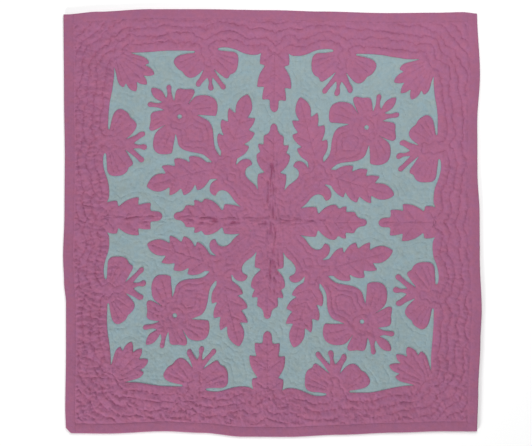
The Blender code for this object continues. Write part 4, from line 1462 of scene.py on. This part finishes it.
def along_strip(side, share, inset, ends):
    """A place on a strip: across, up, how far along it runs, and how far from its nearer end."""
    if side in ("top", "bottom"):
        start, end = ends
        x = start + share * (end - start)
        return x, edge_y(side, x, inset), x, min(x - start, end - x)
    x = edge_x(side, (share - 0.5) * HEIGHT, inset)
    low, high = edge_y("bottom", x, 0.0), edge_y("top", x, 0.0)
    if side == "left":
        foot = corner("left", "bottom", 0.0)
        low += max(CHAMFER - (x - foot.x) / CHAMFER_LEAN, 0.0)
    y = low + share * (high - low)
    return edge_x(side, y, inset), y, y, min(y - low, high - y)


def strip_end(upright, inset, height, dip, from_end):
    """The height and dip of a strip's section near an end, where it is rounded or tucked under."""
    half = STRIP_TOP / 2
    if upright:
        rest = min(max(STRIP_ROUND - from_end, 0.0), STRIP_ROUND)
        squash = (half - STRIP_ROUND + math.sqrt(STRIP_ROUND ** 2 - rest ** 2)) / half
        height = half + (height - half) * squash
        dip *= float(smooth((from_end - STRIP_SEAM_START) / STRIP_SEAM_RISE))
    elif height > half and inset > BINDING_WALL:
        dip = max(dip, STRIP_TUCK_DIP * (1 - float(smooth(from_end / STRIP_TUCK))))
    return height, dip


def rippled(x, y, run, inset):
    """How far hand sewing presses a strip's face down beside its seam."""
    wave = noise.noise(Vector((x / RIPPLE_NOISE_WAVE, y / RIPPLE_NOISE_WAVE, RIPPLE_SEED)))
    ripple = math.sin(math.tau * run / RIPPLE_WAVE + RIPPLE_DRIFT * wave)
    near_seam = max(0.0, 1 - abs(inset - RIPPLE_INSET) / RIPPLE_SPREAD)
    return RIPPLE * (ripple - 1) * near_seam * (RIPPLE_SHARE + RIPPLE_SHARE * wave)


def strip_cloth(side, material):
    """One binding strip, folded over the quilt's edge from its face to its back."""
    upright = side in ("left", "right")
    profile = strip_profile()
    length = HEIGHT if upright else WIDTH - 2 * BINDING_WIDTH
    middle = np.linspace(STRIP_ENDS[-1], length - STRIP_ENDS[-1], round(length / STRIP_STEP))
    stations = STRIP_ENDS[:-1] + list(middle) + [length - e for e in STRIP_ENDS[-2::-1]]
    corner_at = -1 if side == "top" else 0
    ends = (
        edge_line("left", BINDING_WIDTH)[corner_at].x + GAP,
        edge_line("right", BINDING_WIDTH)[corner_at].x - GAP,
    )
    bm = bmesh.new()
    across, along = len(profile), len(stations) - 1
    bmesh.ops.create_grid(bm, x_segments=across, y_segments=along, size=0.5)
    for vert in bm.verts:
        inset, height, dip = profile[round((vert.co.x + 0.5) * across) % across]
        share = stations[round((vert.co.y + 0.5) * along)] / length
        x, y, run, from_end = along_strip(side, share, inset, ends)
        height, dip = strip_end(upright, inset, height, dip, from_end)
        if height > STRIP_TOP / 2:
            height -= STRIP_DIP * dip
            height += rippled(x, y, run, inset)
        vert.co = (x, y, height)
    bmesh.ops.remove_doubles(bm, verts=bm.verts, dist=NEAR)
    rings = [edge for edge in bm.edges if edge.is_boundary]
    caps = bmesh.ops.holes_fill(bm, edges=rings, sides=0)["faces"]
    bmesh.ops.triangulate(bm, faces=caps)
    bmesh.ops.recalc_face_normals(bm, faces=bm.faces)
    shift = quilt_middle()
    bmesh.ops.translate(bm, verts=bm.verts, vec=(shift.x, shift.y, 0.0))
    for face in bm.faces:
        face.smooth = True
    mesh = bpy.data.meshes.new("binding_cloth_" + side)
    bm.to_mesh(mesh)
    bm.free()
    mesh.materials.append(material)
    return linked("binding_cloth_" + side, mesh)


# Numbers of a colour Mix node's sockets
MIX_A, MIX_B, MIX_RESULT = 6, 7, 2


class Wire:
    """A socket of a material's nodes. Arithmetic on it adds Math nodes."""

    def __init__(self, paint, socket):
        self.paint = paint
        self.socket = socket

    def worked(self, operation, *values):
        return self.paint.node(
            "ShaderNodeMath", {"operation": operation}, dict(enumerate(values))
        )

    def __add__(self, other):
        return self.worked("ADD", self, other)

    def __sub__(self, other):
        return self.worked("SUBTRACT", self, other)

    def __rsub__(self, other):
        return self.worked("SUBTRACT", other, self)

    def __mul__(self, other):
        return self.worked("MULTIPLY", self, other)

    def sine(self):
        return self.worked("SINE", self)

    __radd__ = __add__
    __rmul__ = __mul__


class Paint:
    """A material in the making."""

    def __init__(self, name):
        self.material = bpy.data.materials.new(name)
        self.material.use_nodes = True
        self.tree = self.material.node_tree
        self.shader = self.tree.nodes["Principled BSDF"]

    def node(self, kind, settings, values, output=0):
        """A node of one kind, with its settings, then its sockets' values or links."""
        made = self.tree.nodes.new(kind)
        for key, value in settings.items():
            setattr(made, key, value)
        for key, value in values.items():
            self.join(made.inputs[key], value)
        return Wire(self, made.outputs[output])

    def join(self, socket, value):
        if isinstance(value, Wire):
            self.tree.links.new(value.socket, socket)
        else:
            socket.default_value = value

    def finish(self, **values):
        for key, value in values.items():
            self.join(self.shader.inputs[key.replace("_", " ")], value)
        return self.material


def speckled(paint, spot, pattern):
    """Noise from 0 to 1, after a pattern."""
    return paint.node("ShaderNodeTexNoise", {}, {
        "Vector": spot, "Scale": pattern.scale, "Detail": pattern.detail,
        "Roughness": pattern.roughness, "Distortion": pattern.twist})


def bumped(paint, bump, values):
    """Normals that a height has roughened."""
    settled = {"Strength": bump.strength, "Distance": bump.distance}
    return paint.node("ShaderNodeBump", {}, {**settled, **values})


def cotton(name, colour, tone):
    """Plain woven cotton: threads over and under, a few thick ones, softly faded patches, and
    painted shade in the hollows.
    """
    paint = Paint(name)
    spot = paint.node("ShaderNodeTexCoord", {}, {}, "Object")
    x = paint.node("ShaderNodeSeparateXYZ", {}, {"Vector": spot}, "X")
    y = paint.node("ShaderNodeSeparateXYZ", {}, {"Vector": spot}, "Y")
    turns = math.tau / (2 * THREAD)
    weave = (x * turns).sine() * (y * turns).sine()
    drawn_out = [
        paint.node("ShaderNodeVectorMath", {"operation": "MULTIPLY"}, {0: spot, 1: stretch})
        for stretch in ((1.0, SLUB_STRETCH, 1.0), (SLUB_STRETCH, 1.0, 1.0))
    ]
    slubs = speckled(paint, drawn_out[0], SLUB) + speckled(paint, drawn_out[1], SLUB)
    shade = 1.0 + (speckled(paint, spot, FADING) - 0.5) * FADING.shade
    shade = shade + (speckled(paint, spot, MOTTLE) - 0.5) * MOTTLE.shade
    shade = shade + (slubs - 1.0) * SLUB.shade + weave * WEAVE_SHADE
    # Painted shade: the hollow attribute darkens valleys and folds, deepest in the cloth's weaker
    # channels; SOAK deepens the colour evenly everywhere
    hollow = paint.node("ShaderNodeAttribute", {"attribute_name": "hollow"}, {}, "Fac")
    painted_shade = hollow * hollow * tone.hollow_share
    red, green, blue = [
        shade * (tone.brightness - painted_shade - (painted_shade + SOAK) * (1 - part / max(colour)))
        for part in colour
    ]
    warm = (speckled(paint, spot, WARMTH) - 0.5) * WARMTH.shade
    mixed = paint.node("ShaderNodeCombineColor", {}, {
        "Red": red * (1.0 + warm), "Green": green, "Blue": blue * (1.0 - warm)})
    tinted = paint.node(
        "ShaderNodeMix", {"data_type": "RGBA", "blend_type": "MULTIPLY"},
        {"Factor": 1.0, MIX_A: (*colour, 1.0), MIX_B: mixed}, MIX_RESULT,
    )
    threads = bumped(paint, THREAD_BUMP, {
        "Height": weave * THREAD_BUMP_WEAVE + slubs * THREAD_BUMP_SLUBS})
    wrinkled = bumped(paint, WRINKLE_BUMP, {
        "Height": speckled(paint, spot, WRINKLE), "Normal": threads})
    return paint.finish(
        Base_Color=tinted, Roughness=0.88, Normal=wrinkled, Sheen_Weight=0.18,
        Sheen_Roughness=0.45, Specular_IOR_Level=0.25,
    )


class QuiltCloths(bpy.types.PropertyGroup):
    """Colours of the quilt's cloths."""

    ground: FloatVectorProperty(
        name="Ground", description="Colour of the ground cloth and the backing",
        size=3, subtype="COLOR", default=FINISHES["ground_cotton"])
    applique: FloatVectorProperty(
        name="Applique", description="Colour of the sewn-on cloths",
        size=3, subtype="COLOR", default=FINISHES["applique_cotton"])
    binding: FloatVectorProperty(
        name="Binding", description="Colour of the binding",
        size=3, subtype="COLOR", default=FINISHES["binding_cotton"])


class QuiltStage(bpy.types.PropertyGroup):
    """Camera and light of the quilt's picture."""

    lens: FloatProperty(
        name="Lens", description="Focal length of the camera, in millimetres",
        default=100.0, min=1.0)
    view_width: FloatProperty(
        name="View width", description="Width of the picture on the quilt",
        default=1.375, min=0.1, unit="LENGTH")
    key: FloatProperty(
        name="Key light", description="Power of the low light from the lower left, in watts",
        default=116.0, min=0.0)
    fill: FloatProperty(
        name="Fill light", description="Power of the light overhead, in watts",
        default=65.0, min=0.0)
    sky: FloatProperty(
        name="Sky", description="Strength of the light from all round",
        default=0.27, min=0.0)


class QUILT_OT_body(bpy.types.Operator):
    """Make the quilted ground, filling and backing"""

    bl_idname = "quilt.body"
    bl_label = "Quilted body"

    def execute(self, context):
        colours = context.scene.quilt_cloths
        body = body_cloth("ground_cloth", cotton("ground_cotton", colours.ground, GROUND_TONE))
        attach(body, "root")
        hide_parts("quilted_body")
        sewn = stitches("ground_stitches", "ground", body.data.materials[0])
        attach(sewn, "root")
        return {"FINISHED"}


class QUILT_OT_applique(bpy.types.Operator):
    """Make the medallion and the border"""

    bl_idname = "quilt.applique"
    bl_label = "Sewn-on cloths"

    def execute(self, context):
        colours = context.scene.quilt_cloths
        rose = cotton("applique_cotton", colours.applique, APPLIQUE_TONE)
        for region, flat in FLAT_SIZES.items():
            made = sewn_cloth(region + "_cloth", region, rose)
            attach(made, "root")
            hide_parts(region + "_applique")
            area = sum(abs(area_of([tuple(plan().place[i]) for i in t]))
                       for t in plan().regions[region])
            sewn = stitches(region + "_stitches", region, rose)
            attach(sewn, "root")
        return {"FINISHED"}


class QUILT_OT_binding(bpy.types.Operator):
    """Make the four binding strips"""

    bl_idname = "quilt.binding"
    bl_label = "Binding"

    def execute(self, context):
        colours = context.scene.quilt_cloths
        rose = cotton("binding_cotton", colours.binding, BINDING_TONE)
        for side in ("left", "right", "top", "bottom"):
            made = strip_cloth(side, rose)
            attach(made, "root")
            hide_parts("binding_" + side)
        return {"FINISHED"}


class QUILT_OT_stage(bpy.types.Operator):
    """Make the floor, the camera and the lights"""

    bl_idname = "quilt.stage"
    bl_label = "Stage"

    def execute(self, context):
        scene, sizes = context.scene, context.scene.quilt_stage
        bm = bmesh.new()
        bmesh.ops.create_grid(bm, x_segments=1, y_segments=1, size=FLOOR_SIZE)
        bmesh.ops.translate(bm, verts=bm.verts, vec=(0.0, 0.0, -FLOOR_DROP))
        mesh = bpy.data.meshes.new("floor")
        bm.to_mesh(mesh)
        bm.free()
        paper = Paint("floor_paper")
        mesh.materials.append(paper.finish(
            Base_Color=FLOOR_COLOUR, Roughness=0.9, Specular_IOR_Level=0.0))
        floor = linked("floor", mesh)

        middle = quilt_middle()
        look = Vector((VIEW_MIDDLE[0] + middle.x, VIEW_MIDDLE[1] + middle.y))
        data = bpy.data.cameras.new("camera")
        data.lens = sizes.lens
        data.sensor_width = SENSOR_MM
        data.clip_end = CLIP_END
        camera = linked("camera", data)
        away = sizes.view_width * sizes.lens / data.sensor_width
        camera.location = (look.x, look.y, away + SEAT)
        scene.camera = camera

        for name, power, lamp in (("key", sizes.key, KEY), ("fill", sizes.fill, FILL)):
            light = bpy.data.lights.new(name, "AREA")
            light.shape = "SQUARE"
            light.size = lamp.size
            light.energy = power
            hung = linked(name, light)
            hung.location = lamp.place
            turn = (Vector(lamp.aim) - Vector(lamp.place)).to_track_quat("-Z", "Y")
            hung.rotation_euler = turn.to_euler()
        world = bpy.data.worlds.new("sky")
        world.use_nodes = True
        world.node_tree.nodes["Background"].inputs["Strength"].default_value = sizes.sky
        world.node_tree.nodes["Background"].inputs["Color"].default_value = (1, 1, 1, 1)
        scene.world = world
        scene.view_settings.view_transform = "Standard"
        return {"FINISHED"}


class QUILT_PT_panel(bpy.types.Panel):
    """Lists the quilt's pieces and sizes"""

    bl_label = "Quilt"
    bl_idname = "QUILT_PT_panel"
    bl_space_type = "VIEW_3D"
    bl_region_type = "UI"
    bl_category = "Quilt"

    def draw(self, context):
        for name in ("ground", "applique", "binding"):
            self.layout.prop(context.scene.quilt_cloths, name)
        for name in ("lens", "view_width", "key", "fill", "sky"):
            self.layout.prop(context.scene.quilt_stage, name)
        for step in STEPS:
            self.layout.operator(step.bl_idname)


STEPS = (QUILT_OT_body, QUILT_OT_applique, QUILT_OT_binding, QUILT_OT_stage)
CLASSES = (QuiltCloths, QuiltStage) + STEPS + (QUILT_PT_panel,)


def register():
    for entry in CLASSES:
        bpy.utils.register_class(entry)
    bpy.types.Scene.quilt_cloths = PointerProperty(type=QuiltCloths)
    bpy.types.Scene.quilt_stage = PointerProperty(type=QuiltStage)


def unregister():
    del bpy.types.Scene.quilt_stage
    del bpy.types.Scene.quilt_cloths
    for entry in reversed(CLASSES):
        bpy.utils.unregister_class(entry)


def main():
    register()
    bpy.ops.quilt.body()
    bpy.ops.quilt.applique()
    bpy.ops.quilt.binding()
    bpy.ops.quilt.stage()


if __name__ == "__main__":
    main()
